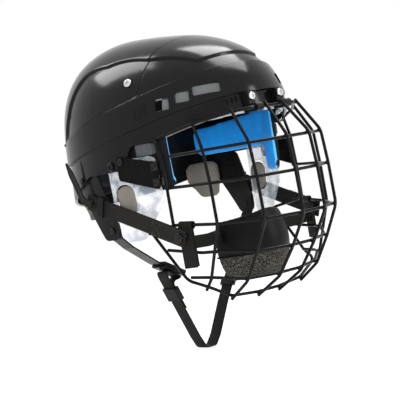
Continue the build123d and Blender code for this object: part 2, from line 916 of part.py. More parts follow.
for ring in range(len(ring_height_shares)):
    save(f"cage_bar_{ring + 1}", wire(ring_path(ring)))
for upright in range(side_upright + 1):
    save_pair(f"cage_upright_{upright + 1}", wire(upright_path(upright)))

# Brow clips: each holds the top bar in a ring that it can turn in
pivot = ring_half(top_ring)[0]
clip_eye_radius = wire_radius + clip_gap
clip_outer_radius = clip_eye_radius + clip_wall
with BuildPart() as brow_clip:
    with BuildSketch(Plane.YZ.offset(clip_middle_x - clip_width / 2)):
        with Locations((pivot.Y, pivot.Z)):
            Circle(clip_outer_radius)
        with BuildLine():
            Polyline(
                (pivot.Y, pivot.Z - clip_outer_radius),
                (-shell_front_reach + riser_length, pivot.Z - clip_outer_radius),
                (-shell_front_reach + riser_length, clip_top),
                (-clip_face_y, clip_top),
                (-clip_face_y, pivot.Z + clip_outer_radius),
                (pivot.Y, pivot.Z + clip_outer_radius),
                close=True,
            )
        make_face()
        with Locations((pivot.Y, pivot.Z)):
            Circle(clip_eye_radius, mode=Mode.SUBTRACT)
    extrude(amount=clip_width)
    add(head_form(clip_seat_gap), mode=Mode.SUBTRACT)
    add(hole(clip_screw_place, screw_shank_radius), mode=Mode.SUBTRACT)
save_pair("brow_clip", brow_clip.part)
clip_screw_length = clip_face_y + form_front_y(clip_middle_x, clip_screw_height) + shell_wall + nut_gap
save_group("clip_screws", screw(clip_screw_place, clip_screw_length, clip_width / 2 - soft_gap))

# Temple panels with the hooks that catch the outermost uprights from behind
with BuildPart() as temple_panel:
    with BuildSketch(panel_plane):
        with BuildLine():
            FilletPolyline(
                (panel_along(panel_rear_y), panel_rear_top),
                (panel_along(panel_front_y), panel_front_top),
                (panel_along(panel_front_y), panel_front_low),
                (panel_along(panel_rear_y), panel_rear_low),
                radius=panel_corner,
                close=True,
            )
        make_face()
    extrude(amount=panel_thickness)
    add(hole(panel_rivet_place, rivet_shank_radius), mode=Mode.SUBTRACT)
save_pair("temple_panel", temple_panel.part)
panel_rivet_length = depth_to(panel_rivet_place, front_offset)
save_group("panel_rivets", rivet(panel_rivet_place, panel_rivet_length))
side_wire_point = wire_point(1, side_upright, 1)
hook_outer_x = panel_front_x + panel_thickness + soft_gap + hook_wall / 2
hook_rear_y = -panel_front_y - soft_gap - hook_wall / 2
hook_inner_x = side_wire_point.X - wire_radius
hook_rear_x = hook_outer_x + (hook_outer_x - panel_front_x) * panel_slope_share
with BuildPart() as panel_hooks:
    for height in (hook_low_height, hook_high_height):
        with BuildSketch(Plane.XY.offset(height - hook_height / 2)):
            with BuildLine():
                FilletPolyline(
                    (hook_rear_x, hook_rear_y + hook_reach),
                    (hook_outer_x, hook_rear_y),
                    (hook_inner_x, hook_rear_y),
                    radius=hook_wall * 2 / 3,
                )
            trace(line_width=hook_wall)
        extrude(amount=hook_height)
save_group("panel_hooks", panel_hooks.part)

# Side webbing from the anchors to the cage, sewn double at its front end
strap_rear = Vector(side_strap_rear_x, side_strap_rear_y, side_strap_rear_height)
strap_front = Vector(side_strap_front_x, -side_strap_front_y, side_strap_front_height)
strap_length = (strap_front - strap_rear).length
strap_along = (strap_front - strap_rear).normalized()
strap_out = (Vector(1, 0, 0) - strap_along * strap_along.X).normalized()
strap_plane = Plane(origin=strap_rear, x_dir=strap_along, z_dir=strap_out)
strap_rivet_place = on_plane(strap_plane, strap_rivet_reach, 0, webbing_thickness)
snap_share = (side_strap_rear_y + snap_y) / (side_strap_rear_y + side_strap_front_y)
snap_point = strap_plane.from_local_coords((strap_length * snap_share, 0, 0))
snap_place = on_plane(strap_plane, strap_length * snap_share, 0, 2 * webbing_thickness)
with BuildPart() as side_strap:
    with BuildSketch(strap_plane):
        with Locations((strap_length / 2, 0)):
            Rectangle(strap_length, webbing_width)
    extrude(amount=webbing_thickness)
    with BuildSketch(strap_plane.offset(webbing_thickness)):
        with Locations((strap_length - side_strap_fold / 2, 0)):
            Rectangle(side_strap_fold, webbing_width)
    extrude(amount=webbing_thickness)
    add(hole(strap_rivet_place, rivet_shank_radius), mode=Mode.SUBTRACT)
    add(hole(snap_place, rivet_shank_radius), mode=Mode.SUBTRACT)
save_pair("side_strap", side_strap.part)

# Anchor plates, which carry the side webbing and the chin strap below the shell
anchor_outline = (
    (anchor_rear_y, anchor_top),
    (anchor_rear_y, rear_rim_height),
    (anchor_middle_y, anchor_low),
    (-anchor_front_y, anchor_low),
    (-anchor_front_y, chin_anchor_top),
    (0, anchor_top),
)
anchor_radii = (rim_radius,) * len(anchor_outline)
chin_rivet_place = surface_plane(-chin_plane_y, chin_rivet_height, 1, guard_outer + seat_gap)
with BuildPart() as anchor:
    add(wall_slice(guard_outer, guard_inner, anchor_outline, anchor_radii, low_x=0))
    for place in (anchor_rivet_place, strap_rivet_place, chin_rivet_place):
        add(hole(place, rivet_shank_radius), mode=Mode.SUBTRACT)
save_pair("anchor", anchor.part)
chin_rivet_length = chin_rivet_place.origin.X - chin_anchor_x + chin_thickness
with BuildPart() as rivets:
    for place, length in (
        (anchor_rivet_place, depth_to(anchor_rivet_place, guard_inner)),
        (strap_rivet_place, depth_to(strap_rivet_place, guard_inner)),
        (chin_rivet_place, chin_rivet_length),
    ):
        add(rivet(place, length))
save_group("anchor_rivets", rivets.part)

# Tabs that close round the side ring, with the studs that the side webbing snaps to
side_ring_path = ring_path(side_ring)


def ring_place(y):
    """Plane square to the side ring on the left where it passes a distance in front of the ears."""
    low, high = 0.5, 1.0
    for _ in range(bisect_rounds):
        middle = (low + high) / 2
        low, high = (middle, high) if (side_ring_path @ middle).Y < y else (low, middle)
    along = side_ring_path % low
    out = Vector(along.Y, -along.X, 0)
    return Plane(origin=side_ring_path @ low, x_dir=out, z_dir=-along)


tab_middle = (cage_tab_front_y + cage_tab_rear_y) / 2
tab_width = cage_tab_front_y - cage_tab_rear_y
tab_place = ring_place(-tab_middle)
tab_eye_radius = wire_radius + cage_tab_gap
tab_outer = tab_eye_radius + cage_tab_wall
tab_drop = tab_place.origin.Z - cage_tab_low
stud_root_x = tab_place.origin.X + tab_outer / 2
with BuildPart() as cage_tab:
    with BuildSketch(tab_place.offset(-tab_width / 2)):
        Circle(tab_outer)
        with Locations((tab_outer / 2, -tab_drop / 2)):
            Rectangle(tab_outer, tab_drop)
        Circle(tab_eye_radius, mode=Mode.SUBTRACT)
    extrude(amount=tab_width)
    with BuildSketch(Plane.YZ.offset(stud_root_x)):
        with Locations((snap_point.Y, snap_point.Z)):
            Circle(stud_radius)
    extrude(amount=snap_point.X - stud_gap - stud_root_x)
save_pair("cage_tab", cage_tab.part)
save_group("strap_snaps", screw(
    snap_place, 2 * webbing_thickness, snap_radius, snap_height, rivet_shank_radius, slotted=False,
))

# Keepers round the side webbing, and the loose tails that stand up behind the anchors
keeper_inner_width = webbing_width + 2 * soft_gap
keeper_depth = webbing_thickness + soft_gap
keeper_place = on_plane(strap_plane, strap_length * keeper_share, 0)
with BuildPart() as strap_keeper:
    with BuildSketch(Plane(origin=keeper_place.origin, x_dir=keeper_place.z_dir, z_dir=keeper_place.x_dir)):
        with Locations(((keeper_depth + keeper_wall) / 2, 0)):
            Rectangle(keeper_depth + keeper_wall, keeper_inner_width + 2 * keeper_wall)
        with Locations((keeper_depth / 2, 0)):
            Rectangle(keeper_depth, keeper_inner_width, mode=Mode.SUBTRACT)
    extrude(amount=keeper_length / 2, both=True)
save_group("strap_keepers", strap_keeper.part)
tail_width = webbing_width * tail_width_share
with BuildPart() as strap_tail:
    with BuildSketch(Plane.YZ.offset(side_strap_rear_x + webbing_thickness + rivet_head_height + soft_gap)):
        with BuildLine():
            FilletPolyline(
                (side_strap_rear_y - tail_width, -tail_width / 2),
                (side_strap_rear_y + tail_width / 2, tail_width / 4),
                (side_strap_rear_y + side_tail_run, side_tail_rise),
                radius=tail_bend,
            )
        trace(line_width=tail_width)
    extrude(amount=webbing_thickness)
save_group("strap_tails", strap_tail.part)


def ribbon(points, radii, thickness, width=chin_width, middle_y=chin_plane_y):
    """Flat strap that lies square to the middle plane, along points seen from the front."""
    with BuildPart(mode=Mode.PRIVATE) as strap:
        with BuildSketch(Plane.XZ.offset(middle_y - width / 2)):
            with BuildLine():
                FilletPolyline(*points, radius=radii)
            trace(line_width=thickness)
        extrude(amount=width)
    return strap.part


# Chin strap: a flat bar and buckle on the wearer's right, and webbing down and up the left
buckle_high = Vector(-buckle_high_x, buckle_high_z)
buckle_low = Vector(-buckle_low_x, buckle_low_z)
buckle_length = (buckle_low - buckle_high).length
buckle_along = (buckle_low - buckle_high).normalized()
buckle_plane = Plane(
    origin=(-(buckle_high_x + buckle_low_x) / 2, -chin_plane_y, (buckle_high_z + buckle_low_z) / 2),
    x_dir=(buckle_along.X, 0, buckle_along.Y),
    z_dir=(-buckle_along.Y, 0, buckle_along.X),
)
with BuildPart() as chin_bar:
    add(ribbon(
        (
            (-chin_anchor_x, chin_anchor_top),
            (-chin_anchor_x, chin_anchor_low),
            (-chin_turn_x, chin_turn_height),
            tuple(buckle_high - buckle_along * chin_bend)[:2],
            tuple(buckle_high + buckle_along * (buckle_length / 2))[:2],
        ),
        (chin_bend, chin_bend, chin_bend),
        chin_thickness,
    ))
    add(hole(to_right(chin_rivet_place), rivet_shank_radius), mode=Mode.SUBTRACT)
save("chin_bar", chin_bar.part)
buckle_bore_width = chin_width + 2 * buckle_gap
buckle_bore_depth = chin_thickness + 2 * buckle_gap
with BuildPart() as chin_buckle:
    with BuildSketch(Plane(origin=buckle_plane.origin, x_dir=buckle_plane.z_dir, z_dir=buckle_plane.x_dir)):
        RectangleRounded(buckle_depth, buckle_width, buckle_wall)
    extrude(amount=buckle_length / 2, both=True)
    with BuildSketch(Plane(
        origin=on_plane(buckle_plane, buckle_wall + buckle_gap, 0).origin,
        x_dir=buckle_plane.z_dir, z_dir=-buckle_plane.x_dir,
    )):
        Rectangle(buckle_bore_depth, buckle_bore_width)
    extrude(amount=buckle_length, mode=Mode.SUBTRACT)
save("chin_buckle", chin_buckle.part)

# Webbing of the chin strap, doubled back through the adjuster
loop_drop = Vector(buckle_along.Y, -buckle_along.X) * (buckle_depth / 2 + soft_gap + chin_thickness / 2)
loop_left = buckle_high + buckle_along * chin_thickness + loop_drop
loop_right = buckle_low + loop_drop
near_low = Vector(-chin_near_low_x, chin_near_low_z)
near_along = (near_low - loop_left).normalized()
near_across = Vector(-near_along.Y, near_along.X)
strand_step = chin_thickness + strand_gap


def near_point(reach, step=0):
    """Place on the near stretch of the chin webbing, and on the strand that lies beside it."""
    spot = loop_left + near_along * reach + near_across * step
    return (spot.X, spot.Y)


far_anchor = ((chin_anchor_x, chin_anchor_low), (chin_anchor_x, chin_anchor_top))
chin_points = (
    near_point(strand_tail_reach, strand_step),
    near_point(adjuster_reach - adjuster_length, strand_step),
    (loop_right.X, loop_right.Y),
    near_point(0),
    near_point((near_low - loop_left).length),
    (-chin_bend, chin_bottom_z),
    (chin_bend, chin_bottom_z),
    (chin_far_low_x, chin_far_low_z),
    (chin_far_mid_x, chin_far_mid_z),
) + far_anchor
chin_radii = [chin_bend, chin_tight_bend, chin_tight_bend] + [chin_bend] * (len(chin_points) - 5)
with BuildPart() as chin_strap:
    add(ribbon(chin_points, chin_radii, chin_thickness))
    add(hole(chin_rivet_place, rivet_shank_radius), mode=Mode.SUBTRACT)
save("chin_strap", chin_strap.part)


def sliding_frame(place, depth, length):
    """Frame round a strap: a place across it, the depth of its bore, and its length along the strap."""
    with BuildPart(mode=Mode.PRIVATE) as frame:
        with BuildSketch(place):
            RectangleRounded(depth + 2 * adjuster_wall, chin_width + 2 * adjuster_rim, adjuster_wall)
            Rectangle(depth, chin_width + 2 * adjuster_gap, mode=Mode.SUBTRACT)
        extrude(amount=length / 2, both=True)
    return frame.part


near_direction = Vector(near_along.X, 0, near_along.Y)
adjuster_spot = near_point(adjuster_reach, strand_step / 2)
adjuster_plane = Plane(
    origin=(adjuster_spot[0], -chin_plane_y, adjuster_spot[1]),
    x_dir=(near_across.X, 0, near_across.Y),
    z_dir=near_direction,
)
adjuster_bore = chin_thickness + strand_step + 2 * adjuster_gap
save("chin_adjuster", sliding_frame(adjuster_plane, adjuster_bore, adjuster_length))
far_top = Vector(chin_anchor_x, chin_anchor_low)
far_mid = Vector(chin_far_mid_x, chin_far_mid_z)
far_along = (far_top - far_mid).normalized()
far_spot = far_mid + (far_top - far_mid) * chin_keeper_share
far_plane = Plane(
    origin=(far_spot.X, -chin_plane_y, far_spot.Y),
    x_dir=(-far_along.Y, 0, far_along.X),
    z_dir=(far_along.X, 0, far_along.Y),
)
save("chin_keeper", sliding_frame(far_plane, chin_thickness + 2 * adjuster_gap, keeper_length))


# Chin cup, with a pad in it, and the straps that hold it in the cage
def cup_form(shrink, low, high):
    """Solid that swells from low to high, flat at the back, smaller than the cup all round."""
    with BuildPart(mode=Mode.PRIVATE) as form:
        for level_share, size_share in zip(cup_level_shares, cup_size_shares):
            with BuildSketch(Plane.XY.offset(low + (high - low) * level_share)):
                with BuildLine():
                    arc = EllipticalCenterArc(
                        (0, -cup_rear_y), cup_half_width * size_share - shrink,
                        cup_reach * size_share - shrink, 180, arc_size=180,
                    )
                    Line(arc @ 0, arc @ 1)
                make_face()
        loft()
    return form.part


with BuildPart() as chin_cup:
    add(cup_form(0, cup_low, cup_top))
    add(cup_form(cup_wall, cup_low + cup_wall, cup_top), mode=Mode.SUBTRACT)
save("chin_cup", chin_cup.part)
cup_pad_outer = cup_wall + soft_gap
cup_pad_inner = cup_pad_outer + cup_pad_thickness
with BuildPart() as cup_pad:
    add(cup_form(cup_pad_outer, cup_low + cup_pad_outer, cup_top - soft_gap))
    add(
        cup_form(cup_pad_inner, cup_low + cup_pad_inner, cup_top - soft_gap),
        mode=Mode.SUBTRACT,
    )
save("cup_pad", cup_pad.part)
tab_inner_x = tab_place.origin.X - soft_gap
with BuildPart() as cup_strap:
    with BuildSketch(Plane.XY.offset(cup_strap_height - cup_strap_width / 2)):
        with BuildLine():
            Polyline((cup_half_width / 2, -cup_rear_y - cup_reach / 4), (tab_inner_x, -tab_middle))
        trace(line_width=cup_strap_thickness)
    extrude(amount=cup_strap_width)
    add(cup_form(-soft_gap, cup_low, cup_top), mode=Mode.SUBTRACT)
save_group("cup_straps", cup_strap.part)
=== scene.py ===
"""Ice hockey helmet: finishes, pads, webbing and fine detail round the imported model.

Metres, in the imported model's frame: +Z up, the face looks along -Y and the wearer's left is +X.
"""
import math

import bmesh
import bpy
from mathutils import Matrix, Vector
from mathutils.bvhtree import BVHTree


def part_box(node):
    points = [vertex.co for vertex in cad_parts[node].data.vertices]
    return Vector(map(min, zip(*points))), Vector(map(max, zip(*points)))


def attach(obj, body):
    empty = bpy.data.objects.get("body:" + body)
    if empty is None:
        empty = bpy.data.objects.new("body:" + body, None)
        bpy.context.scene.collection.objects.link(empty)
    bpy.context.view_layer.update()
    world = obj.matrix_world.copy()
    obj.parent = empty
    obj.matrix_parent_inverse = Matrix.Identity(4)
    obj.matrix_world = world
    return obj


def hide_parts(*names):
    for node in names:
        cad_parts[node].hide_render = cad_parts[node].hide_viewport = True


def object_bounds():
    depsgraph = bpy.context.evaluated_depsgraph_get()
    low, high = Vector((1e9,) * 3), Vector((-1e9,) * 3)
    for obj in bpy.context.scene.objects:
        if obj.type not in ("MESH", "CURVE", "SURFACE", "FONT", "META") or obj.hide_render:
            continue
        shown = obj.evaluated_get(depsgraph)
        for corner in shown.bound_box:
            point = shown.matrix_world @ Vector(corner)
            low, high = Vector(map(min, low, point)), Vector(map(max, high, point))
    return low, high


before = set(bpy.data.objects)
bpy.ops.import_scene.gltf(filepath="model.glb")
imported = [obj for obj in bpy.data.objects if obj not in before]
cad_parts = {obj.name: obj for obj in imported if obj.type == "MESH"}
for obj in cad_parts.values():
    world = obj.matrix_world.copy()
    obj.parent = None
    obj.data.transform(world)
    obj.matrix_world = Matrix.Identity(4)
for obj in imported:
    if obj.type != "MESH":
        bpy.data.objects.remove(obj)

bl_info = {
    "name": "Ice Hockey Helmet",
    "version": (1, 0, 0),
    "blender": (4, 5, 0),
    "location": "View3D > Sidebar > Helmet",
    "description": "Builds the pads, webbing, trim and finishes of an ice hockey helmet",
    "category": "Add Mesh",
}

MM = 0.001
CAD_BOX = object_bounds()
SIDES = (("right", -1), ("left", 1))
# Middle of the head space, which pads and shells lie around
HEAD_MIDDLE = Vector((0, -10, 40)) * MM
UP = Vector((0, 0, 1))
# Two faces that meet at more than this look like an edge
SHARP_ANGLE = math.radians(50)
MERGE_REACH = 0.02 * MM


# Colours and shader nodes
def linear(hex_colour):
    """Linear colour of an sRGB hex value, with full opacity."""
    values = []
    for start in (1, 3, 5):
        share = int(hex_colour[start:start + 2], 16) / 255
        values.append(share / 12.92 if share <= 0.04045 else ((share + 0.055) / 1.055) ** 2.4)
    return (*values, 1)


def shade(colour, share):
    """A colour made darker to a share of its light."""
    return (*(value * share for value in colour[:3]), 1)


def colours():
    """The scene's helmet colours."""
    return bpy.context.scene.helmet_colours


def sizes():
    """The scene's helmet sizes."""
    return bpy.context.scene.helmet_sizes


def add_node(tree, kind, settings=None, links=None, **properties):
    """Adds a shader node, sets its properties and input values, and links sockets into it."""
    made = tree.nodes.new(kind)
    for name, value in properties.items():
        setattr(made, name, value)
    for name, value in (settings or {}).items():
        made.inputs[name].default_value = value
    for name, socket in (links or {}).items():
        tree.links.new(socket, made.inputs[name])
    return made


def start_material(name, colour, settings):
    """New material with a Principled shader; gives it, its tree, the shader and Object coordinates."""
    material = bpy.data.materials.new(name)
    material.use_nodes = True
    material.diffuse_color = colour
    tree = material.node_tree
    shader = tree.nodes["Principled BSDF"]
    shader.inputs["Base Color"].default_value = colour
    for socket, value in settings.items():
        shader.inputs[socket].default_value = value
    place = add_node(tree, "ShaderNodeTexCoord")
    return material, tree, shader, place.outputs["Object"]


def drift_roughness(tree, shader, place, size, low, high):
    """Lets the roughness drift between two values over patches of a real size."""
    patches = add_node(tree, "ShaderNodeTexNoise", {"Scale": 1 / size, "Detail": 3}, {"Vector": place})
    spread = add_node(
        tree, "ShaderNodeMapRange", {"From Min": 0.3, "From Max": 0.7, "To Min": low, "To Max": high},
        {"Value": patches.outputs["Fac"]},
    )
    tree.links.new(spread.outputs["Result"], shader.inputs["Roughness"])


def drift_colour(tree, shader, factor, dark, light, low=0.3, high=0.65):
    """Colours the shader between a dark and a light colour as a pattern rises."""
    ramp = add_node(tree, "ShaderNodeValToRGB", links={"Fac": factor})
    first, last = ramp.color_ramp.elements
    first.position, first.color = low, dark
    last.position, last.color = high, light
    tree.links.new(ramp.outputs["Color"], shader.inputs["Base Color"])


def bump_from(tree, shader, height, strength, depth, edge_radius=0):
    """Bumps the shader's normal by a pattern, over edges that look rounded by a radius."""
    bump = add_node(tree, "ShaderNodeBump", {"Strength": strength, "Distance": depth}, {"Height": height})
    if edge_radius:
        edge = add_node(tree, "ShaderNodeBevel", {"Radius": edge_radius}, samples=6)
        tree.links.new(edge.outputs["Normal"], bump.inputs["Normal"])
    tree.links.new(bump.outputs["Normal"], shader.inputs["Normal"])


def moulded_shell_abs():
    """Injection-moulded ABS: a deep black gloss that mirrors the lights, with a faint orange peel."""
    material, tree, shader, place = start_material("moulded_shell_abs", tuple(colours().shell), {
        "IOR": 1.54, "Specular IOR Level": 0.17,
    })
    drift_roughness(tree, shader, place, 35 * MM, 0.13, 0.2)
    peel = add_node(tree, "ShaderNodeTexNoise", {"Scale": 1 / (7 * MM)}, {"Vector": place})
    bump_from(tree, shader, peel.outputs["Fac"], 0.05, 0.3 * MM, 0.9 * MM)
    return material


def dipped_wire():
    """Steel wire dipped in black nylon: a satin skin with soft, long highlights."""
    material, tree, shader, place = start_material("nylon_dipped_wire", linear("#050506"), {
        "IOR": 1.52, "Specular IOR Level": 0.14,
    })
    drift_roughness(tree, shader, place, 9 * MM, 0.14, 0.24)
    grain = add_node(tree, "ShaderNodeTexNoise", {"Scale": 1 / (1.4 * MM)}, {"Vector": place})
    bump_from(tree, shader, grain.outputs["Fac"], 0.12, 0.1 * MM)
    return material


def chrome_plate():
    """Chrome over a steel screw: a clear mirror, a little hazed by handling."""
    material, tree, shader, place = start_material("chrome_plated_steel", linear("#d2d2d0"), {"Metallic": 1})
    drift_roughness(tree, shader, place, 3 * MM, 0.08, 0.2)
    return material


def blackened_steel():
    """Black-oxide steel of rivets and snaps: dark metal, brighter in random worn patches."""
    material, tree, shader, place = start_material("black_oxide_steel", linear("#2a2a2b"), {"Metallic": 1})
    drift_roughness(tree, shader, place, 2 * MM, 0.25, 0.42)
    wear = add_node(tree, "ShaderNodeTexNoise", {"Scale": 1 / (1.5 * MM), "Detail": 4}, {"Vector": place})
    drift_colour(tree, shader, wear.outputs["Fac"], linear("#1b1b1c"), linear("#4a4a4b"), 0.4, 0.75)
    return material


def grained_plastic(name, dark, light, low, high, grit, mirror):
    """Moulded plastic with a spark-eroded grain of a given size, and a given shine."""
    material, tree, shader, place = start_material(name, light, {"IOR": 1.48, "Specular IOR Level": mirror})
    drift_roughness(tree, shader, place, 12 * MM, low, high)
    cloud = add_node(tree, "ShaderNodeTexNoise", {"Scale": 1 / (8 * MM), "Detail": 5}, {"Vector": place})
    drift_colour(tree, shader, cloud.outputs["Fac"], dark, light)
    grain = add_node(tree, "ShaderNodeTexNoise", {"Scale": 1 / grit}, {"Vector": place})
    bump_from(tree, shader, grain.outputs["Fac"], 0.2, 0.2 * MM, 0.5 * MM)
    return material


def moulded_acetal():
    """Acetal of buckles, clips and anchors: smooth black with a waxy sheen."""
    return grained_plastic("moulded_acetal", linear("#060607"), linear("#0d0d0e"), 0.22, 0.34, 0.9 * MM, 0.16)


def flexible_vinyl():
    """Soft vinyl sheet of the temple panels: dull black that shows hardly a highlight."""
    return grained_plastic("flexible_vinyl", linear("#030304"), linear("#070708"), 0.45, 0.6, 0.7 * MM, 0.08)


def moulded_rubber():
    """Rubber of the temple blocks: plain mid grey, dusty and matt."""
    return grained_plastic("moulded_rubber", linear("#36373a"), linear("#434447"), 0.55, 0.7, 0.8 * MM, 0.3)


def clear_polycarbonate():
    """Clear polycarbonate of the ear guards, with sharp reflections, and streaks of painted reflection in its
    colour.
    """
    material, tree, shader, place = start_material("clear_polycarbonate", linear("#c2c8d0"), {
        "IOR": 1.58, "Alpha": 0.4, "Coat Weight": 1, "Coat Roughness": 0.04,
    })
    drift_roughness(tree, shader, place, 14 * MM, 0.06, 0.14)
    flow_and_painted_reflection = add_node(tree, "ShaderNodeTexNoise", {"Scale": 1 / (13 * MM), "Detail": 1}, {"Vector": place})
    # Painted reflection: the colour drifts in streaks from grey-violet to near white; the same pattern also
    # waves the surface
    drift_colour(tree, shader, flow_and_painted_reflection.outputs["Fac"], linear("#8d95a3"), linear("#e6eaee"), 0.35, 0.6)
    bump_from(tree, shader, flow_and_painted_reflection.outputs["Fac"], 0.5, 2.5 * MM, 0.6 * MM)
    return material


def skinned_foam(name, dark, light, pore, roughness):
    """Closed-cell foam with a moulded skin: matt, finely pored, a shade deeper in places."""
    material, tree, shader, place = start_material(name, light, {
        "Roughness": roughness, "Sheen Weight": 0.03, "Sheen Roughness": 0.5, "IOR": 1.45,
        "Specular IOR Level": 0.15,
    })
    cloud = add_node(tree, "ShaderNodeTexNoise", {"Scale": 1 / (26 * MM), "Detail": 4}, {"Vector": place})
    drift_colour(tree, shader, cloud.outputs["Fac"], dark, light)
    pores = add_node(tree, "ShaderNodeTexVoronoi", {"Scale": 1 / pore}, {"Vector": place})
    bump_from(tree, shader, pores.outputs["Distance"], 0.25, 0.2 * MM)
    return material


def blue_foam():
    """Blue EVA comfort foam, seen on its moulded face."""
    face = tuple(colours().side_pad)
    return skinned_foam("blue_eva_foam", shade(face, 0.78), face, 1.3 * MM, 0.5)


def blue_foam_lit_rim():
    """The same foam, paler on the faces across the pad's thickness: a painted highlight of light falling on
    its rim.
    """
    edge = tuple(colours().side_pad_lit_rim)
    return skinned_foam("blue_eva_foam_lit_rim", shade(edge, 0.75), edge, 0.9 * MM, 0.7)


def grey_foam():
    """Warm grey EVA comfort foam of the ear and nape pads."""
    grey = tuple(colours().grey_pad)
    return skinned_foam("grey_eva_foam", shade(grey, 0.7), grey, 1.3 * MM, 0.55)


def liner_foam():
    """Black vinyl-nitrile liner foam: charcoal, matt, with visible cells."""
    return skinned_foam("vinyl_nitrile_foam", linear("#08080a"), linear("#111113"), 1.8 * MM, 0.72)


def vent_foam():
    """Grey foam seen through the vent windows."""
    return skinned_foam("vent_backing_foam", linear("#2a2e2f"), linear("#373b3c"), 1.2 * MM, 0.7)


def sweat_foam():
    """Pale grey sweat band along the brow."""
    return skinned_foam("sweat_band_foam", linear("#9fa3a6"), linear("#c3c7ca"), 1.1 * MM, 0.65)


def woven_webbing():
    """Nylon webbing: chevron ribs of twisted yarn, drawn 2.2 mm apart so that they show, with painted shade
    in the troughs between them.
    """
    material, tree, shader, _ = start_material(
        "woven_nylon_webbing", linear("#141413"), {"Roughness": 0.5, "Specular IOR Level": 0.1},
    )
    rib_pitch, fold_width = 2.2 * MM, 3 * MM
    woven = add_node(tree, "ShaderNodeUVMap", uv_map="weave")
    axes = add_node(tree, "ShaderNodeSeparateXYZ", links={"Vector": woven.outputs["UV"]})
    fold = add_node(tree, "ShaderNodeMath", {1: fold_width}, {0: axes.outputs["Y"]}, operation="PINGPONG")
    slant = add_node(
        tree, "ShaderNodeMath", links={0: axes.outputs["X"], 1: fold.outputs["Value"]}, operation="ADD",
    )
    turns = add_node(
        tree, "ShaderNodeMath", {1: 2 * math.pi / rib_pitch}, {0: slant.outputs["Value"]},
        operation="MULTIPLY",
    )
    rib = add_node(tree, "ShaderNodeMath", links={0: turns.outputs["Value"]}, operation="SINE")
    height = add_node(
        tree, "ShaderNodeMapRange", {"From Min": -1, "From Max": 1}, {"Value": rib.outputs["Value"]},
    )
    raised = tuple(colours().webbing)
    # Painted shade: the troughs between the ribs darken to 15 % of the raised yarn's colour
    drift_colour(tree, shader, height.outputs["Result"], shade(raised, 0.15), raised, 0.15, 0.9)
    bump_from(tree, shader, height.outputs["Result"], 0.9, 0.6 * MM)
    return material


def sewing_thread():
    """Bonded nylon thread of the seams: a dark grey twist that catches the light."""
    dark, light = linear("#1c1c1b"), linear("#383835")
    return grained_plastic("bonded_nylon_thread", dark, light, 0.4, 0.5, 0.4 * MM, 0.3)


def cup_satin():
    """Smooth woven cover over the chin cup: black with a soft broad highlight."""
    material, tree, shader, place = start_material(
        "satin_weave_cover", linear("#0a0a0b"), {"Roughness": 0.42, "Specular IOR Level": 0.11},
    )
    weave = add_node(tree, "ShaderNodeTexNoise", {"Scale": 1 / (1.1 * MM), "Detail": 2}, {"Vector": place})
    drift_colour(tree, shader, weave.outputs["Fac"], linear("#040405"), linear("#0f0f10"), 0.35, 0.7)
    bump_from(tree, shader, weave.outputs["Fac"], 0.3, 0.2 * MM)
    return material


def cup_mesh():
    """Spacer mesh of the chin cup: pale threads round holes in painted shade, drawn 2.6 mm apart so that they
    show.
    """
    material, tree, shader, place = start_material("knitted_spacer_mesh", linear("#2c2b27"), {
        "Roughness": 0.6, "Specular IOR Level": 0.12,
    })
    holes = add_node(
        tree, "ShaderNodeTexVoronoi", {"Scale": 1 / (2.6 * MM), "Randomness": 0.8}, {"Vector": place},
        feature="DISTANCE_TO_EDGE",
    )
    # Painted shade: the holes darken to near black towards their middles
    drift_colour(tree, shader, holes.outputs["Distance"], linear("#4f4d46"), linear("#050505"), 0.02, 0.15)
    bump_from(tree, shader, holes.outputs["Distance"], 0.6, -0.5 * MM)
    return material


def finish_of(maker):
    """The material that a maker function gives, made once."""
    made = bpy.data.materials.get(maker.__name__)
    if made is None:
        made = maker()
        made.name = maker.__name__
    return made


def paint(maker, *nodes):
    """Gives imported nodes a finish."""
    for name in nodes:
        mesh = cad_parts[name].data
        mesh.materials.clear()
        mesh.materials.append(finish_of(maker))


# Meshes
def both(name):
    """A node's names on the two sides."""
    return [f"{name}_{side}" for side, _ in SIDES]


def merged_copy(*names):
    """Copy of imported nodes' meshes, with their loose triangles merged."""
    form = bmesh.new()
    for name in names:
        form.from_mesh(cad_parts[name].data)
    bmesh.ops.remove_doubles(form, verts=form.verts, dist=MERGE_REACH)
    return form


def add_piece(form, name, body, makers, nodes=()):
    """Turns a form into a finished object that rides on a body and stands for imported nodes."""
    mesh = bpy.data.meshes.new(name)
    for face in form.faces:
        face.smooth = True
    for edge in form.edges:
        edge.smooth = edge.calc_face_angle(0) < SHARP_ANGLE
    form.to_mesh(mesh)
    form.free()
    piece = bpy.data.objects.new(name, mesh)
    bpy.context.scene.collection.objects.link(piece)
    for maker in makers:
        mesh.materials.append(finish_of(maker))
    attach(piece, body)
    if nodes:
        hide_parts(*nodes)


def evaluated_form(piece):
    """A piece's mesh with its modifiers applied, as a form, and the piece itself removed."""
    form = bmesh.new()
    form.from_object(piece, bpy.context.evaluated_depsgraph_get())
    mesh = piece.data
    bpy.data.objects.remove(piece)
    bpy.data.meshes.remove(mesh)
    return form


def scratch_object(form):
    """A form as a bare object that modifiers can work on."""
    mesh = bpy.data.meshes.new("scratch")
    form.to_mesh(mesh)
    form.free()
    made = bpy.data.objects.new("scratch", mesh)
    bpy.context.scene.collection.objects.link(made)
    return made


def ease(form, rounds):
    """Smooths a form all over, a number of times."""
    for _ in range(rounds):
        bmesh.ops.smooth_vert(
            form, verts=form.verts, factor=0.5, use_axis_x=True, use_axis_y=True, use_axis_z=True,
        )


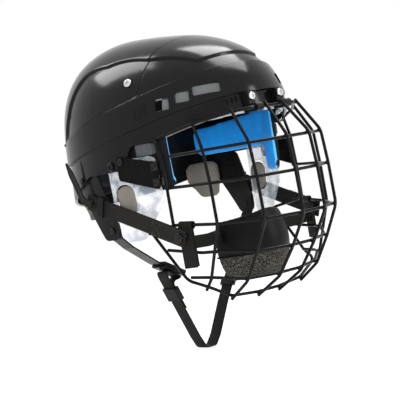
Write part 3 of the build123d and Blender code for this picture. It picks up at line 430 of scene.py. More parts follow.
def rounded_form(form, voxel, inset, rounds):
    """A form meshed evenly, drawn in all round and with its edges eased."""
    block = scratch_object(form)
    cells = block.modifiers.new("cells", "REMESH")
    cells.mode = "VOXEL"
    cells.voxel_size = voxel
    eased = evaluated_form(block)
    ease(eased, rounds)
    eased.normal_update()
    for vert in eased.verts:
        vert.co -= vert.normal * inset
    return eased


# Swelling of the pads: how far a point may move, how long it runs, and how often it is eased afterwards
SWELL_LIMIT = 1.2 * MM
SWELL_FRAMES = 20
SWELL_ROUNDS = 2


def plumped(form, pressure):
    """A form that its own air pressure has swollen as cloth, by no more than the limit."""
    pad = scratch_object(form)
    start = [vert.co.copy() for vert in pad.data.vertices]
    cloth = pad.modifiers.new("swell", "CLOTH")
    cloth.settings.quality = 4
    cloth.settings.mass = 0.3
    cloth.settings.tension_stiffness = 40
    cloth.settings.compression_stiffness = 40
    cloth.settings.bending_stiffness = 6
    cloth.settings.use_pressure = True
    cloth.settings.uniform_pressure_force = pressure
    cloth.settings.effector_weights.gravity = 0
    cloth.collision_settings.use_collision = False
    cloth.point_cache.frame_end = SWELL_FRAMES
    for moment in range(1, SWELL_FRAMES + 1):
        bpy.context.scene.frame_set(moment)
    swollen = evaluated_form(pad)
    swollen.verts.ensure_lookup_table()
    for vert, place in zip(swollen.verts, start):
        step = vert.co - place
        if step.length > SWELL_LIMIT:
            vert.co = place + step.normalized() * SWELL_LIMIT
    bpy.context.scene.frame_set(1)
    ease(swollen, SWELL_ROUNDS)
    return swollen


# How squarely a face looks away from the head, or up, before it counts as a pad's back or top
RIM_LEAN = 0.55


def mark_rim(form):
    """Gives the second material, the paler foam of painted highlight, to faces across the pad's thickness,
    and the third to its back and top.
    """
    form.normal_update()
    for face in form.faces:
        outwards = (face.calc_center_median() - HEAD_MIDDLE).normalized()
        lean = face.normal.dot(outwards)
        if lean >= RIM_LEAN or (lean > -RIM_LEAN and face.normal.z > RIM_LEAN):
            face.material_index = 2
        elif lean > -RIM_LEAN:
            face.material_index = 1


def rounded_path(points, radius):
    """Points of a route with its corners rounded, by no more than their share of each stretch."""
    steps, most_share = 5, 0.45
    path = [points[0]]
    for before, corner, after in zip(points, points[1:], points[2:]):
        arriving, leaving = corner - before, after - corner
        half_turn = arriving.angle(leaving) / 2
        reach = min(radius * math.tan(half_turn), most_share * arriving.length, most_share * leaving.length)
        start = corner - arriving.normalized() * reach
        end = corner + leaving.normalized() * reach
        for step in range(steps + 1):
            share = step / steps
            path.append(start.lerp(corner, share).lerp(corner.lerp(end, share), share))
    path.append(points[-1])
    return path


def finely(path, step):
    """A path with points added so that no two are further apart than a step."""
    fine = [path[0]]
    for before, after in zip(path, path[1:]):
        parts = max(1, math.ceil((after - before).length / step))
        fine += [before.lerp(after, part / parts) for part in range(1, parts + 1)]
    return fine


def flat_section(width, thickness):
    """Offsets of a flat strap's outline: a rectangle with well rounded edges."""
    sides, squareness = 16, 0.3
    section = []
    for side in range(sides):
        angle = 2 * math.pi * (side + 0.5) / sides
        across = math.copysign(abs(math.cos(angle)) ** squareness, math.cos(angle))
        out = math.copysign(abs(math.sin(angle)) ** squareness, math.sin(angle))
        section.append((across * width / 2, out * thickness / 2))
    return section


def round_section(radius, sides=10):
    """Offsets of a round section."""
    return [
        (radius * math.cos(2 * math.pi * side / sides), radius * math.sin(2 * math.pi * side / sides))
        for side in range(sides)
    ]


def extrude_along(form, path, across, section, taper=None):
    """Extrudes a section along a path, its width kept along a direction; gives the weave its UV map."""
    weave = form.loops.layers.uv.get("weave") or form.loops.layers.uv.new("weave")
    woven, ring, run = {}, [], 0
    faces_before = set(form.faces)
    for index, point in enumerate(path):
        along = (path[min(index + 1, len(path) - 1)] - path[max(index - 1, 0)]).normalized()
        wide = (across - along * across.dot(along)).normalized()
        out = along.cross(wide)
        share = taper(index / (len(path) - 1)) if taper else 1
        places = [point + wide * (a * share) + out * b for a, b in section]
        if index == 0:
            ring = [form.verts.new(place) for place in places]
            form.faces.new(reversed(ring))
            edges = [form.edges.get((ring[i - 1], ring[i])) for i in range(len(ring))]
        else:
            run += (point - path[index - 1]).length
            grown = bmesh.ops.extrude_edge_only(form, edges=edges)["geom"]
            new_verts = [item for item in grown if isinstance(item, bmesh.types.BMVert)]
            ring = [min(new_verts, key=lambda vert: (vert.co - old.co).length) for old in ring]
            for vert, place in zip(ring, places):
                vert.co = place
            edges = [form.edges.get((ring[i - 1], ring[i])) for i in range(len(ring))]
        for vert, (a, _) in zip(ring, section):
            woven[vert] = (run, a)
    form.faces.new(ring)
    made = [face for face in form.faces if face not in faces_before]
    bmesh.ops.recalc_face_normals(form, faces=made)
    for face in made:
        for loop in face.loops:
            loop[weave].uv = woven.get(loop.vert, (0, 0))


STITCH_PITCH = 3 * MM
STITCH_LENGTH = 2.2 * MM
STITCH_RADIUS = 0.32 * MM


def add_stitches(form, path, out):
    """Lays a row of stitches along a path, standing half proud of the face that looks out."""
    run = finely(path, STITCH_PITCH)
    for before, after in zip(run, run[1:]):
        along = (after - before).normalized()
        turn = Matrix((along, out.cross(along).normalized(), out)).transposed().to_4x4()
        size = Matrix.Diagonal((STITCH_LENGTH / 2, STITCH_RADIUS, STITCH_RADIUS, 1))
        place = Matrix.Translation((before + after) / 2) @ turn @ size
        bmesh.ops.create_icosphere(form, subdivisions=1, radius=1, matrix=place)


def shell_skin():
    """All faces of both shells, for rays that find where trim goes."""
    form = merged_copy("front_shell", "rear_shell")
    skin = BVHTree.FromBMesh(form)
    form.free()
    return skin


# How far from the middle a ray on to the shell starts, in millimetres, both past the shell
SIDE_EYE = 200
FRONT_EYE = 300


def on_side(skin, side, y, z):
    """Place and outward direction on the shell, seen square from one side, in millimetres."""
    eye = Vector((side * SIDE_EYE, y, z)) * MM
    place, normal, _, _ = skin.ray_cast(eye, Vector((-side, 0, 0)))
    if normal.x * side < 0:
        normal = -normal
    return place, normal


def on_front(skin, x, z):
    """Place and outward direction on the shell, seen square from the front, in millimetres."""
    place, normal, _, _ = skin.ray_cast(Vector((x, -FRONT_EYE, z)) * MM, Vector((0, 1, 0)))
    if normal.y > 0:
        normal = -normal
    return place, normal


def facing(place, out):
    """Matrix at a place whose Z looks out and whose X runs level."""
    level = UP.cross(out).normalized()
    turn = Matrix((level, out.cross(level), out)).transposed().to_4x4()
    return Matrix.Translation(place) @ turn


FOAM_INSET = 0.6 * MM
EASE_ROUNDS = 3


def foam_piece(name, node, body, makers, voxel, pressure=0, shape=None):
    """A foam part in place of its plain solids: edges eased, faces lightly crowned, cut rim told apart for
    its painted highlight.
    """
    form = rounded_form(merged_copy(node), voxel, FOAM_INSET, EASE_ROUNDS)
    if pressure:
        form = plumped(form, pressure)
    if shape:
        shape(form)
    if len(makers) > 1:
        mark_rim(form)
    add_piece(form, name, body, makers, [node])


# Nape pads: where their blunt point lies, how far it is raised, and how much narrower they end
NAPE_POINT_Y = 38 * MM
NAPE_LIFT = 20 * MM
NAPE_NARROWING = 0.75
NAPE_SHOULDER_Z = 0
NAPE_LOW_Z = -42 * MM


def point_nape(form):
    """Narrows the nape pads below their shoulders to a blunt point."""
    for vert in form.verts:
        fall = min(max((NAPE_SHOULDER_Z - vert.co.z) / (NAPE_SHOULDER_Z - NAPE_LOW_Z), 0), 1)
        vert.co.y += (NAPE_POINT_Y - vert.co.y) * NAPE_NARROWING * fall
        vert.co.z += fall * NAPE_LIFT


# Chin cup: its top edge is highest in the middle, and its mesh starts below a sewn seam
CUP_LOW_CORNER, CUP_HIGH_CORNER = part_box("chin_cup")
CUP_HALF_WIDTH = CUP_HIGH_CORNER.x
CUP_REAR_Y = CUP_HIGH_CORNER.y
CUP_REACH = CUP_REAR_Y - CUP_LOW_CORNER.y
CUP_TOP = CUP_HIGH_CORNER.z
CUP_SEAM_Z = -82 * MM
CUP_ARCH = 12 * MM
CUP_ARCH_LOW_Z = -74 * MM
CUP_CELL = 1.7 * MM
CUP_INSET = 0.3 * MM
# Piping of the cup: how wide its line is, as a share of the cup's outline, and its radius
SEAM_PIPING_SHARE, SEAM_PIPING_RADIUS = 0.992, 0.9 * MM
TOP_PIPING_SHARE, TOP_PIPING_RADIUS = 0.84, 1.9 * MM
TOP_PIPING_DROP = 1.4 * MM


def arch_top(form):
    """Lowers a cup form's top towards its sides, so that its edge is an arch."""
    for vert in form.verts:
        rise = max(0, (vert.co.z - CUP_ARCH_LOW_Z) / (CUP_TOP - CUP_ARCH_LOW_Z))
        vert.co.z -= CUP_ARCH * (vert.co.x / CUP_HALF_WIDTH) ** 2 * min(rise, 1)


def cup_line(z, size, drop=0):
    """Path round the outside of the cup at a height, falling towards its ends."""
    steps = 40
    path = []
    for step in range(steps + 1):
        angle = math.pi * step / steps
        x, y = size * CUP_HALF_WIDTH * math.cos(angle), size * CUP_REACH * math.sin(angle)
        path.append(Vector((x, CUP_REAR_Y - y, z - drop * math.cos(angle) ** 2)))
    return path


# How much of its full width and thickness each webbing is drawn at, to stay inside its solid
LAYER_SHARE = 0.96
TAB_LAYER_SHARE = 0.9
CHIN_WIDTH_SHARE, CHIN_LAYER_SHARE = 0.99, 0.95
# Webbing routes, in millimetres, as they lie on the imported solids
SIDE_STRAP_REAR = (106.4, 22, 0)
SIDE_STRAP_FRONT = (99.4, -122, -53)
SIDE_STRAP_FOLD = 50
SNAP_SHARE = 0.958
CHIN_PLANE_Y = -8
CHIN_ROUTE = (
    (-27.2, -136.9), (-41.1, -103.6), (-24.2, -102.0), (-49.8, -87.8), (-14.5, -172.5), (-7, -187),
    (7, -187), (16, -176), (36, -141), (99.7, -44), (99.7, -28),
)
TAIL_X = 110.7
TAIL_ROUTE = ((13, -4.5), (26.5, 2.2), (46, 46))
CUP_STRAP_ROUTE = ((43.2, -112.4, -58), (62, -114, -59.5))
CUP_STRAP_END_Y, CUP_STRAP_END_Z = -116, -58


def mirrored(point, side):
    """A point of the wearer's left, in millimetres, as a place on one of the two sides."""
    return Vector((side * point[0], point[1], point[2])) * MM


def wire_middle(node, side, y):
    """Middle of a wire where it passes a distance in front of the ears on one side."""
    near = [
        vert.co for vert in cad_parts[node].data.vertices
        if vert.co.x * side > 0
    ]
    before = [co for co in near if co.y <= y]
    after = [co for co in near if co.y > y]
    reach = 3 * MM
    first = max(before, key=lambda co: co.y).y
    last = min(after, key=lambda co: co.y).y
    lower = [co for co in before if co.y > first - reach]
    upper = [co for co in after if co.y < last + reach]
    low, high = sum(lower, Vector()) / len(lower), sum(upper, Vector()) / len(upper)
    return low.lerp(high, (y - low.y) / (high.y - low.y)), (high - low).normalized()


def new_lamp(name, width, height, energy, place, target):
    """Soft rectangular lamp that looks at a target."""
    data = bpy.data.lights.new(name, "AREA")
    data.shape = "RECTANGLE"
    data.size, data.size_y, data.energy = width, height, energy
    lamp = bpy.data.objects.new(name, data)
    bpy.context.scene.collection.objects.link(lamp)
    lamp.location = place
    lamp.rotation_euler = (target - place).to_track_quat("-Z", "Y").to_euler()
    return lamp


class HelmetSizes(bpy.types.PropertyGroup):
    """Sizes of what is sewn, welded and moulded on the helmet."""

    webbing_width: bpy.props.FloatProperty(
        name="Webbing width", description="Width of the side and chin webbing", default=18 * MM,
        unit="LENGTH",
    )
    webbing_thickness: bpy.props.FloatProperty(
        name="Webbing thickness", description="Thickness of one layer of webbing", default=1.6 * MM,
        unit="LENGTH",
    )
    weld_radius: bpy.props.FloatProperty(
        name="Weld radius", description="Radius of the bead where two wires cross", default=2.15 * MM,
        unit="LENGTH",
    )
    foam_cell: bpy.props.FloatProperty(
        name="Foam mesh size", description="Spacing of the mesh that the pads are made of", default=2.6 * MM,
        unit="LENGTH",
    )


class HelmetColours(bpy.types.PropertyGroup):
    """Colours of the helmet's main finishes."""

    shell: bpy.props.FloatVectorProperty(
        name="Shell", description="Colour of both shells", default=linear("#09090a"), size=4, subtype="COLOR",
    )
    side_pad: bpy.props.FloatVectorProperty(
        name="Side pads", description="Colour of the side pads' faces", default=linear("#2093ea"), size=4,
        subtype="COLOR",
    )
    # The pads' rims are painted paler, a painted highlight of light falling on them
    side_pad_lit_rim: bpy.props.FloatVectorProperty(
        name="Pad edges", description="Colour of the side pads' cut edges", default=linear("#5cbcff"), size=4,
        subtype="COLOR",
    )
    grey_pad: bpy.props.FloatVectorProperty(
        name="Ear and nape pads", description="Colour of the grey pads", default=linear("#6f6b64"), size=4,
        subtype="COLOR",
    )
    webbing: bpy.props.FloatVectorProperty(
        name="Webbing", description="Colour of the webbing's raised yarn", default=linear("#21201e"), size=4,
        subtype="COLOR",
    )


# Floor: half its width and how far it lies below the helmet
FLOOR_SIZE = 6
FLOOR_DROP = 1 * MM
# Share of what the camera sees of the paper that is even white, and how bright that white is
WHITE_SHARE = 0.62
WHITE_STRENGTH = 1.28
# Camera: distance and target from the photograph, sensor width and lens in millimetres
CAMERA_DISTANCE = 1.40332
CAMERA_TARGET = Vector((0, -40, -20)) * MM
SENSOR_WIDTH, LENS = 36, 112.5
# Lamps: name, width, height, energy, and place from the target to the right, up and towards the camera
LAMPS = (
    ("top_softbox", 0.9, 0.55, 15, (0.25, 1.15, -0.25)),
    ("left_softbox", 0.45, 0.7, 9, (-0.8, 0.95, -0.25)),
    ("right_strip", 0.2, 0.8, 5, (1.05, 0.5, 0.4)),
    ("low_front", 0.8, 0.5, 15, (0, 0.1, 1.25)),
)


class HELMET_OT_stage(bpy.types.Operator):
    """Make the floor, the lights and the camera"""

    bl_idname = "helmet.stage"
    bl_label = "Stage"

    def execute(self, context):
        scene = context.scene
        scene.view_settings.view_transform = "Standard"
        floor = bmesh.new()
        level = Matrix.Translation((0, 0, CAD_BOX[0].z - FLOOR_DROP))
        bmesh.ops.create_grid(floor, x_segments=1, y_segments=1, size=FLOOR_SIZE, matrix=level)
        mesh = bpy.data.meshes.new("floor")
        floor.to_mesh(mesh)
        floor.free()
        ground = bpy.data.objects.new("floor", mesh)
        scene.collection.objects.link(ground)
        paper = bpy.data.materials.new("white_sweep_paper")
        paper.use_nodes = True
        tree = paper.node_tree
        matt = tree.nodes["Principled BSDF"]
        matt.inputs["Base Color"].default_value = linear("#f4f4f4")
        matt.inputs["Roughness"].default_value = 1
        # Most of what the camera sees of the paper is even white, and the rest keeps a soft shadow
        white = add_node(tree, "ShaderNodeEmission", {"Color": linear("#ffffff"), "Strength": WHITE_STRENGTH})
        rays = add_node(tree, "ShaderNodeLightPath")
        seen = add_node(
            tree, "ShaderNodeMath", {1: WHITE_SHARE}, {0: rays.outputs["Is Camera Ray"]},
            operation="MULTIPLY",
        )
        mix = add_node(tree, "ShaderNodeMixShader", links={
            "Fac": seen.outputs["Value"], 1: matt.outputs["BSDF"], 2: white.outputs["Emission"],
        })
        tree.links.new(mix.outputs["Shader"], tree.nodes["Material Output"].inputs["Surface"])
        mesh.materials.append(paper)
        self.light_world(scene)
        self.place_camera(scene)
        return {"FINISHED"}

    def light_world(self, scene):
        """Even pale surround, white where it is seen directly, in a mirror or through clear plastic."""
        world = bpy.data.worlds.new("studio")
        scene.world = world
        world.use_nodes = True
        tree = world.node_tree
        tree.nodes.clear()
        rays = add_node(tree, "ShaderNodeLightPath")
        straight = add_node(tree, "ShaderNodeMath", links={
            0: rays.outputs["Is Camera Ray"], 1: rays.outputs["Is Transmission Ray"],
        }, operation="MAXIMUM")
        seen = add_node(tree, "ShaderNodeMath", links={
            0: straight.outputs["Value"], 1: rays.outputs["Is Glossy Ray"],
        }, operation="MAXIMUM")
        strength = add_node(
            tree, "ShaderNodeMapRange", {"To Min": 0.55, "To Max": 1}, {"Value": seen.outputs["Value"]},
        )
        sky = add_node(
            tree, "ShaderNodeBackground", {"Color": linear("#ffffff")},
            {"Strength": strength.outputs["Result"]},
        )
        add_node(tree, "ShaderNodeOutputWorld", links={"Surface": sky.outputs["Background"]})

    def place_camera(self, scene):
        """Camera at the photograph's angle, rolled so that the helmet leans back, with its lamps round it."""
        azimuth, elevation, roll = math.radians(-40.953), math.radians(1.778), math.radians(-10)
        target = CAMERA_TARGET
        back = Vector((
            math.sin(azimuth) * math.cos(elevation), -math.cos(azimuth) * math.cos(elevation),
            math.sin(elevation),
        ))
        level = Vector((math.cos(azimuth), math.sin(azimuth), 0))
        upright = back.cross(level)
        right = level * math.cos(roll) + upright * math.sin(roll)
        up = back.cross(right)
        data = bpy.data.cameras.new("camera")
        data.sensor_width, data.lens = SENSOR_WIDTH, LENS
        camera = bpy.data.objects.new("camera", data)
        scene.collection.objects.link(camera)
        turn = Matrix((right, up, back)).transposed().to_4x4()
        camera.matrix_world = Matrix.Translation(target + back * CAMERA_DISTANCE) @ turn
        scene.camera = camera
        for name, width, height, energy, (across, above, nearer) in LAMPS:
            place = target + right * across + up * above + back * nearer
            lamp = new_lamp(name, width, height, energy, place, target)
            # The front lamp only fills the shadows, and nothing mirrors it
            lamp.visible_glossy = name != "low_front"


class HELMET_OT_hard_parts(bpy.types.Operator):
    """Give shells, wires, screws, clips and buckles their finishes"""

    bl_idname = "helmet.hard_parts"
    bl_label = "Hard parts"

    def execute(self, context):
        paint(moulded_shell_abs, "front_shell", "rear_shell")
        wires = [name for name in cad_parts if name.startswith(("cage_bar", "cage_upright"))]
        paint(dipped_wire, *wires)
        paint(chrome_plate, "size_screws", "size_nuts", "clip_screws")
        paint(blackened_steel, "guard_screws", "panel_rivets", "panel_hooks", "anchor_rivets", "strap_snaps")
        paint(moulded_acetal, *both("brow_clip"), *both("anchor"), "strap_keepers")
        paint(moulded_acetal, "chin_bar", "chin_buckle", "chin_adjuster", "chin_keeper")
        paint(clear_polycarbonate, *both("ear_guard"))
        paint(flexible_vinyl, *both("temple_panel"))
        paint(moulded_rubber, "temple_blocks")
        return {"FINISHED"}


# Perforated patch on the side arm, placed in millimetres: matt dark dots of painted shade that stand for its
# holes
PATCH_ROWS, PATCH_COLUMNS = 5, 7
PATCH_PITCH = 2.5
PATCH_ROW_STRETCH = 1.1
PATCH_COLUMN_RISE = 0.5
PATCH_REAR_Y, PATCH_TOP_Z = -74, 88
PATCH_DOT = (0.8 * MM, 0.8 * MM, 0.35 * MM, 1)
# Louvre ribs on the strip between the rim and the brow band, placed in millimetres
RIB_COUNT = 5
RIB_LOW_Z = 64.5
RIB_PITCH = 2.9
RIB_FRONT_Y, RIB_REAR_Y, RIB_STEP = -154, -123, 2
RIB_MIDDLE_Y = -134
RIB_SLOPE = 0.25
RIB_RISE = 0.2 * MM
RIB_RADIUS = 0.8 * MM
# Brow slots, placed in millimetres: matt dark lenses of painted shade that stand for them
SLOT_COUNT = 3
SLOT_FIRST_X, SLOT_TOP_Z = 30, 80
SLOT_PITCH, SLOT_FALL = 4.4, 0.8
SLOT_SIZE = (1.5 * MM, 3.2 * MM, 0.3 * MM, 1)


class HELMET_OT_shell_trim(bpy.types.Operator):
    """Add the perforated patches and brow slots, as dark dots of painted shade, and the louvre ribs to the
    front shell
    """

    bl_idname = "helmet.shell_trim"
    bl_label = "Shell trim"

    def execute(self, context):
        skin = shell_skin()
        dots = bmesh.new()
        for _, side in SIDES:
            for row in range(PATCH_ROWS):
                for column in range(PATCH_COLUMNS):
                    y = PATCH_REAR_Y - column * PATCH_PITCH
                    z = PATCH_TOP_Z - row * PATCH_PITCH * PATCH_ROW_STRETCH + column * PATCH_COLUMN_RISE
                    place, out = on_side(skin, side, y, z)
                    dot = facing(place, out) @ Matrix.Diagonal(PATCH_DOT)
                    bmesh.ops.create_icosphere(dots, subdivisions=2, radius=1, matrix=dot)
        add_piece(dots, "hole_shade_dots", "root", [flexible_vinyl])
        ribs = bmesh.new()
        for _, side in SIDES:
            for step in range(RIB_COUNT):
                z = RIB_LOW_Z + step * RIB_PITCH
                path = []
                for y in range(RIB_FRONT_Y, RIB_REAR_Y, RIB_STEP):
                    place, out = on_side(skin, side, y, z - (y - RIB_MIDDLE_Y) * RIB_SLOPE)
                    path.append(place + out * RIB_RISE)
                extrude_along(ribs, path, UP, round_section(RIB_RADIUS, 8))
        add_piece(ribs, "brow_ribs", "root", [moulded_shell_abs])
        slots = bmesh.new()
        for _, side in SIDES:
            for step in range(SLOT_COUNT):
                x = side * (SLOT_FIRST_X + SLOT_PITCH * step)
                place, out = on_front(skin, x, SLOT_TOP_Z - SLOT_FALL * step)
                slot = facing(place, out) @ Matrix.Diagonal(SLOT_SIZE)
                bmesh.ops.create_icosphere(slots, subdivisions=3, radius=1, matrix=slot)
        add_piece(slots, "brow_slots", "root", [flexible_vinyl])
        return {"FINISHED"}


# Raised crown: rays towards its middle find the shells, and stop there
CROWN_MIDDLE = Vector((0, -10, 60)) * MM
CROWN_RAY = 300 * MM
# How far round from the side the crown's edge lies, in degrees, at angles from the rear to the front
CROWN_EDGE = (
    (-6, 44), (15, 35), (33, 33), (52, 36.3), (73, 41.6), (99, 43.2), (130, 54.8), (140, 63.4), (151, 72),
)
CROWN_CELLS_ALONG, CROWN_CELLS_ACROSS = 110, 72
CROWN_WALL = 1.5 * MM
CROWN_RISE = 2.4 * MM
CROWN_SINK = 0.4 * MM
CROWN_LEDGE = 4 * MM
SEAM_Y = -76.5 * MM
SEAM_REACH = 0.9 * MM
SEAM_HALF_GAP = 0.7 * MM
# In degrees, wide enough to clear the gap on both of its sides
SEAM_STEP = 1.5


def edge_angle(turn):
    """How far round from the side the raised crown's edge lies, at an angle from the rear."""
    for (low, low_edge), (high, high_edge) in zip(CROWN_EDGE, CROWN_EDGE[1:]):
        if turn <= high:
            break
    return low_edge + (high_edge - low_edge) * (turn - low) / (high - low)


def crown_place(skin, turn, lift):
    """Place and outward direction on the shells, at an angle from the rear and one from the left."""
    up = math.sin(lift)
    ray = Vector((math.cos(lift), up * math.cos(math.radians(turn)), up * math.sin(math.radians(turn))))
    place, normal, _, _ = skin.ray_cast(CROWN_MIDDLE + ray * CROWN_RAY, -ray, CROWN_RAY)
    if place is not None and normal.dot(ray) < 0:
        normal = -normal
    return place, normal


def bridged_place(skin, turn, lift):
    """The same, carried straight across the gap of the seam."""
    place, normal = crown_place(skin, turn, lift)
    if place is None or abs(place.y - SEAM_Y) < SEAM_REACH:
        (low, low_normal), (high, high_normal) = (
            crown_place(skin, turn + step, lift) for step in (-SEAM_STEP, SEAM_STEP)
        )
        place, normal = (low + high) / 2, (low_normal + high_normal).normalized()
    return place, normal


def crown_form(skin):
    """Sheet that follows the shells' crown, raised in its middle and sunk at its edge."""
    form = bmesh.new()
    bmesh.ops.create_grid(form, x_segments=CROWN_CELLS_ALONG, y_segments=CROWN_CELLS_ACROSS, size=1)
    first, last = CROWN_EDGE[0][0], CROWN_EDGE[-1][0]
    for vert in form.verts:
        along = math.sin(vert.co.x * math.pi / 2)
        across = math.sin(vert.co.y * math.pi / 2)
        turn = first + (last - first) * (along + 1) / 2
        spread = 90 - edge_angle(turn)
        lift = math.radians(90 - across * spread)
        place, normal = bridged_place(skin, turn, lift)
        reach = (place - CROWN_MIDDLE).length
        to_side = (1 - abs(across)) * math.radians(spread)
        to_end = (1 - abs(along)) * math.radians(last - first) / 2
        inside = min(to_side, to_end) * reach
        share = min(inside / CROWN_LEDGE, 1)
        share *= share * (3 - 2 * share)
        vert.co = place + normal * (CROWN_RISE * share - CROWN_SINK * (1 - share))
    return form


class HELMET_OT_crown(bpy.types.Operator):
    """Raise the middle of the crown on both shells, up to the seam between them"""

    bl_idname = "helmet.crown"
    bl_label = "Raised crown"

    def execute(self, context):
        skin = shell_skin()
        for name, body, forward in (("front_crown", "root", -1), ("rear_crown", "rear", 1)):
            form = crown_form(skin)
            seam = (0, SEAM_Y + forward * SEAM_HALF_GAP, 0)
            bmesh.ops.bisect_plane(
                form, geom=form.verts[:] + form.edges[:] + form.faces[:], dist=0.01 * MM,
                plane_co=seam, plane_no=(0, -forward, 0), clear_outer=True,
            )
            bmesh.ops.recalc_face_normals(form, faces=form.faces)
            bmesh.ops.solidify(form, geom=form.faces[:], thickness=CROWN_WALL)
            bmesh.ops.recalc_face_normals(form, faces=form.faces)
            add_piece(form, name, body, [moulded_shell_abs])
        return {"FINISHED"}


BAR_COUNT = 7
UPRIGHT_PAIRS = 4


class HELMET_OT_welds(bpy.types.Operator):
    """Add a coated weld bead wherever two wires of the cage cross"""

    bl_idname = "helmet.welds"
    bl_label = "Cage welds"

    def execute(self, context):
        beads = bmesh.new()
        reach, step = 0.7 * MM, 1.2 * MM
        uprights = [name for number in range(UPRIGHT_PAIRS) for name in both(f"cage_upright_{number + 1}")]
        bars = []
        for number in range(BAR_COUNT):
            form = merged_copy(f"cage_bar_{number + 1}")
            bars.append(BVHTree.FromBMesh(form))
            form.free()
        for name in uprights:
            form = merged_copy(name)
            samples = []
            for edge in form.edges:
                start, end = (vert.co.copy() for vert in edge.verts)
                samples += finely([start, end], step)
            form.free()
            for bar in bars:
                nearest, middle = reach, None
                for sample in samples:
                    place, _, _, gap = bar.find_nearest(sample, nearest)
                    if place and gap < nearest:
                        nearest, middle = gap, (place + sample) / 2
                if middle:
                    bead = Matrix.Translation(middle)
                    bmesh.ops.create_icosphere(beads, subdivisions=2, radius=sizes().weld_radius, matrix=bead)
        add_piece(beads, "weld_beads", "cage", [dipped_wire])
        return {"FINISHED"}


# Pads and liners: spacing of their meshes, and air pressure
STRIP_CELL, EAR_CELL, INNER_CELL = 1.6 * MM, 2 * MM, 3 * MM
FRONT_LINER_CELL, REAR_LINER_CELL, VENT_CELL = 2.6 * MM, 2.8 * MM, 1.2 * MM
CUP_PAD_CELL = 2.2 * MM
PAD_PRESSURE, CUP_PRESSURE = 3, 2.5


class HELMET_OT_comfort_pads(bpy.types.Operator):
    """Replace the plain side, brow, ear, nape, crown and rear pads with eased and crowned foam"""

    bl_idname = "helmet.comfort_pads"
    bl_label = "Comfort pads"

    def execute(self, context):
        cell = sizes().foam_cell
        # The second finish paints a highlight on the pads' rims
        blue = [blue_foam, blue_foam_lit_rim, liner_foam]
        for pad in (*both("side_pad"), "brow_pad"):
            foam_piece(f"{pad}_foam", pad, "root", blue, cell, PAD_PRESSURE)
        foam_piece(
            "brow_strip_foam", "brow_strip", "root", [sweat_foam], STRIP_CELL,
        )
        foam_piece(
            "nape_pads_foam", "nape_pads", "root", [grey_foam], cell, PAD_PRESSURE,
            shape=point_nape,
        )
        foam_piece(
            "ear_pads_foam", "ear_pads", "root", [grey_foam], EAR_CELL, PAD_PRESSURE,
        )
        for pad in ("crown_pad", "occipital_pad"):
            foam_piece(
                f"{pad}_foam", pad, "rear", [liner_foam], INNER_CELL, PAD_PRESSURE,
            )
        return {"FINISHED"}


class HELMET_OT_liners(bpy.types.Operator):
    """Replace the plain liners with moulded foam"""

    bl_idname = "helmet.liners"
    bl_label = "Liners"

    def execute(self, context):
        for node, body, maker, slot, cell in (
            ("front_liner", "root", liner_foam, "foam", FRONT_LINER_CELL),
            ("rear_liner", "rear", liner_foam, "foam", REAR_LINER_CELL),
            ("vent_foams", "root", vent_foam, "vent_foam", VENT_CELL),
        ):
            foam_piece(f"{node}_foam", node, body, [maker], cell)
        return {"FINISHED"}


class HELMET_OT_chin_cup(bpy.types.Operator):
    """Build the covered chin cup, its mesh pad, its piping and its straps"""

    bl_idname = "helmet.chin_cup"
    bl_label = "Chin cup"

    def execute(self, context):
        cover = rounded_form(merged_copy("chin_cup"), CUP_CELL, CUP_INSET, EASE_ROUNDS)
        arch_top(cover)
        for face in cover.faces:
            face.material_index = int(face.calc_center_median().z < CUP_SEAM_Z)
        add_piece(cover, "chin_cup_cover", "cage", [cup_satin, cup_mesh], ["chin_cup"])
        foam_piece(
            "chin_cup_pad", "cup_pad", "cage", [cup_mesh], CUP_PAD_CELL,
            CUP_PRESSURE, shape=arch_top,
        )
        piping = bmesh.new()
        seam_line = cup_line(CUP_SEAM_Z, SEAM_PIPING_SHARE)
        top_line = cup_line(CUP_TOP - TOP_PIPING_DROP, TOP_PIPING_SHARE, CUP_ARCH)
        extrude_along(piping, seam_line, UP, round_section(SEAM_PIPING_RADIUS))
        extrude_along(piping, top_line, UP, round_section(TOP_PIPING_RADIUS))
        add_piece(piping, "chin_cup_piping", "cage", [cup_satin])
        straps = bmesh.new()
        outer_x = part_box("cup_straps")[1].x / MM
        end = (outer_x, CUP_STRAP_END_Y, CUP_STRAP_END_Z)
        width, thickness, bend, step = 13.6 * MM, 1.8 * MM, 30 * MM, 3 * MM
        for _, side in SIDES:
            route = [mirrored(point, side) for point in (*CUP_STRAP_ROUTE, end)]
            path = finely(rounded_path(route, bend), step)
            extrude_along(straps, path, UP, flat_section(width, thickness))
        add_piece(straps, "cup_straps_webbing", "cage", [woven_webbing], ["cup_straps"])
        return {"FINISHED"}


# Folded front end of the side webbing, and its sewn box
FOLD_TURN, FOLD_STEPS = 0.8 * MM, 8
STRAP_STEP = 5 * MM
BOX_LENGTH, BOX_FROM_FOLD, BOX_FROM_END = 12 * MM, 3 * MM, 6 * MM
STITCH_MARGIN = 2.2 * MM


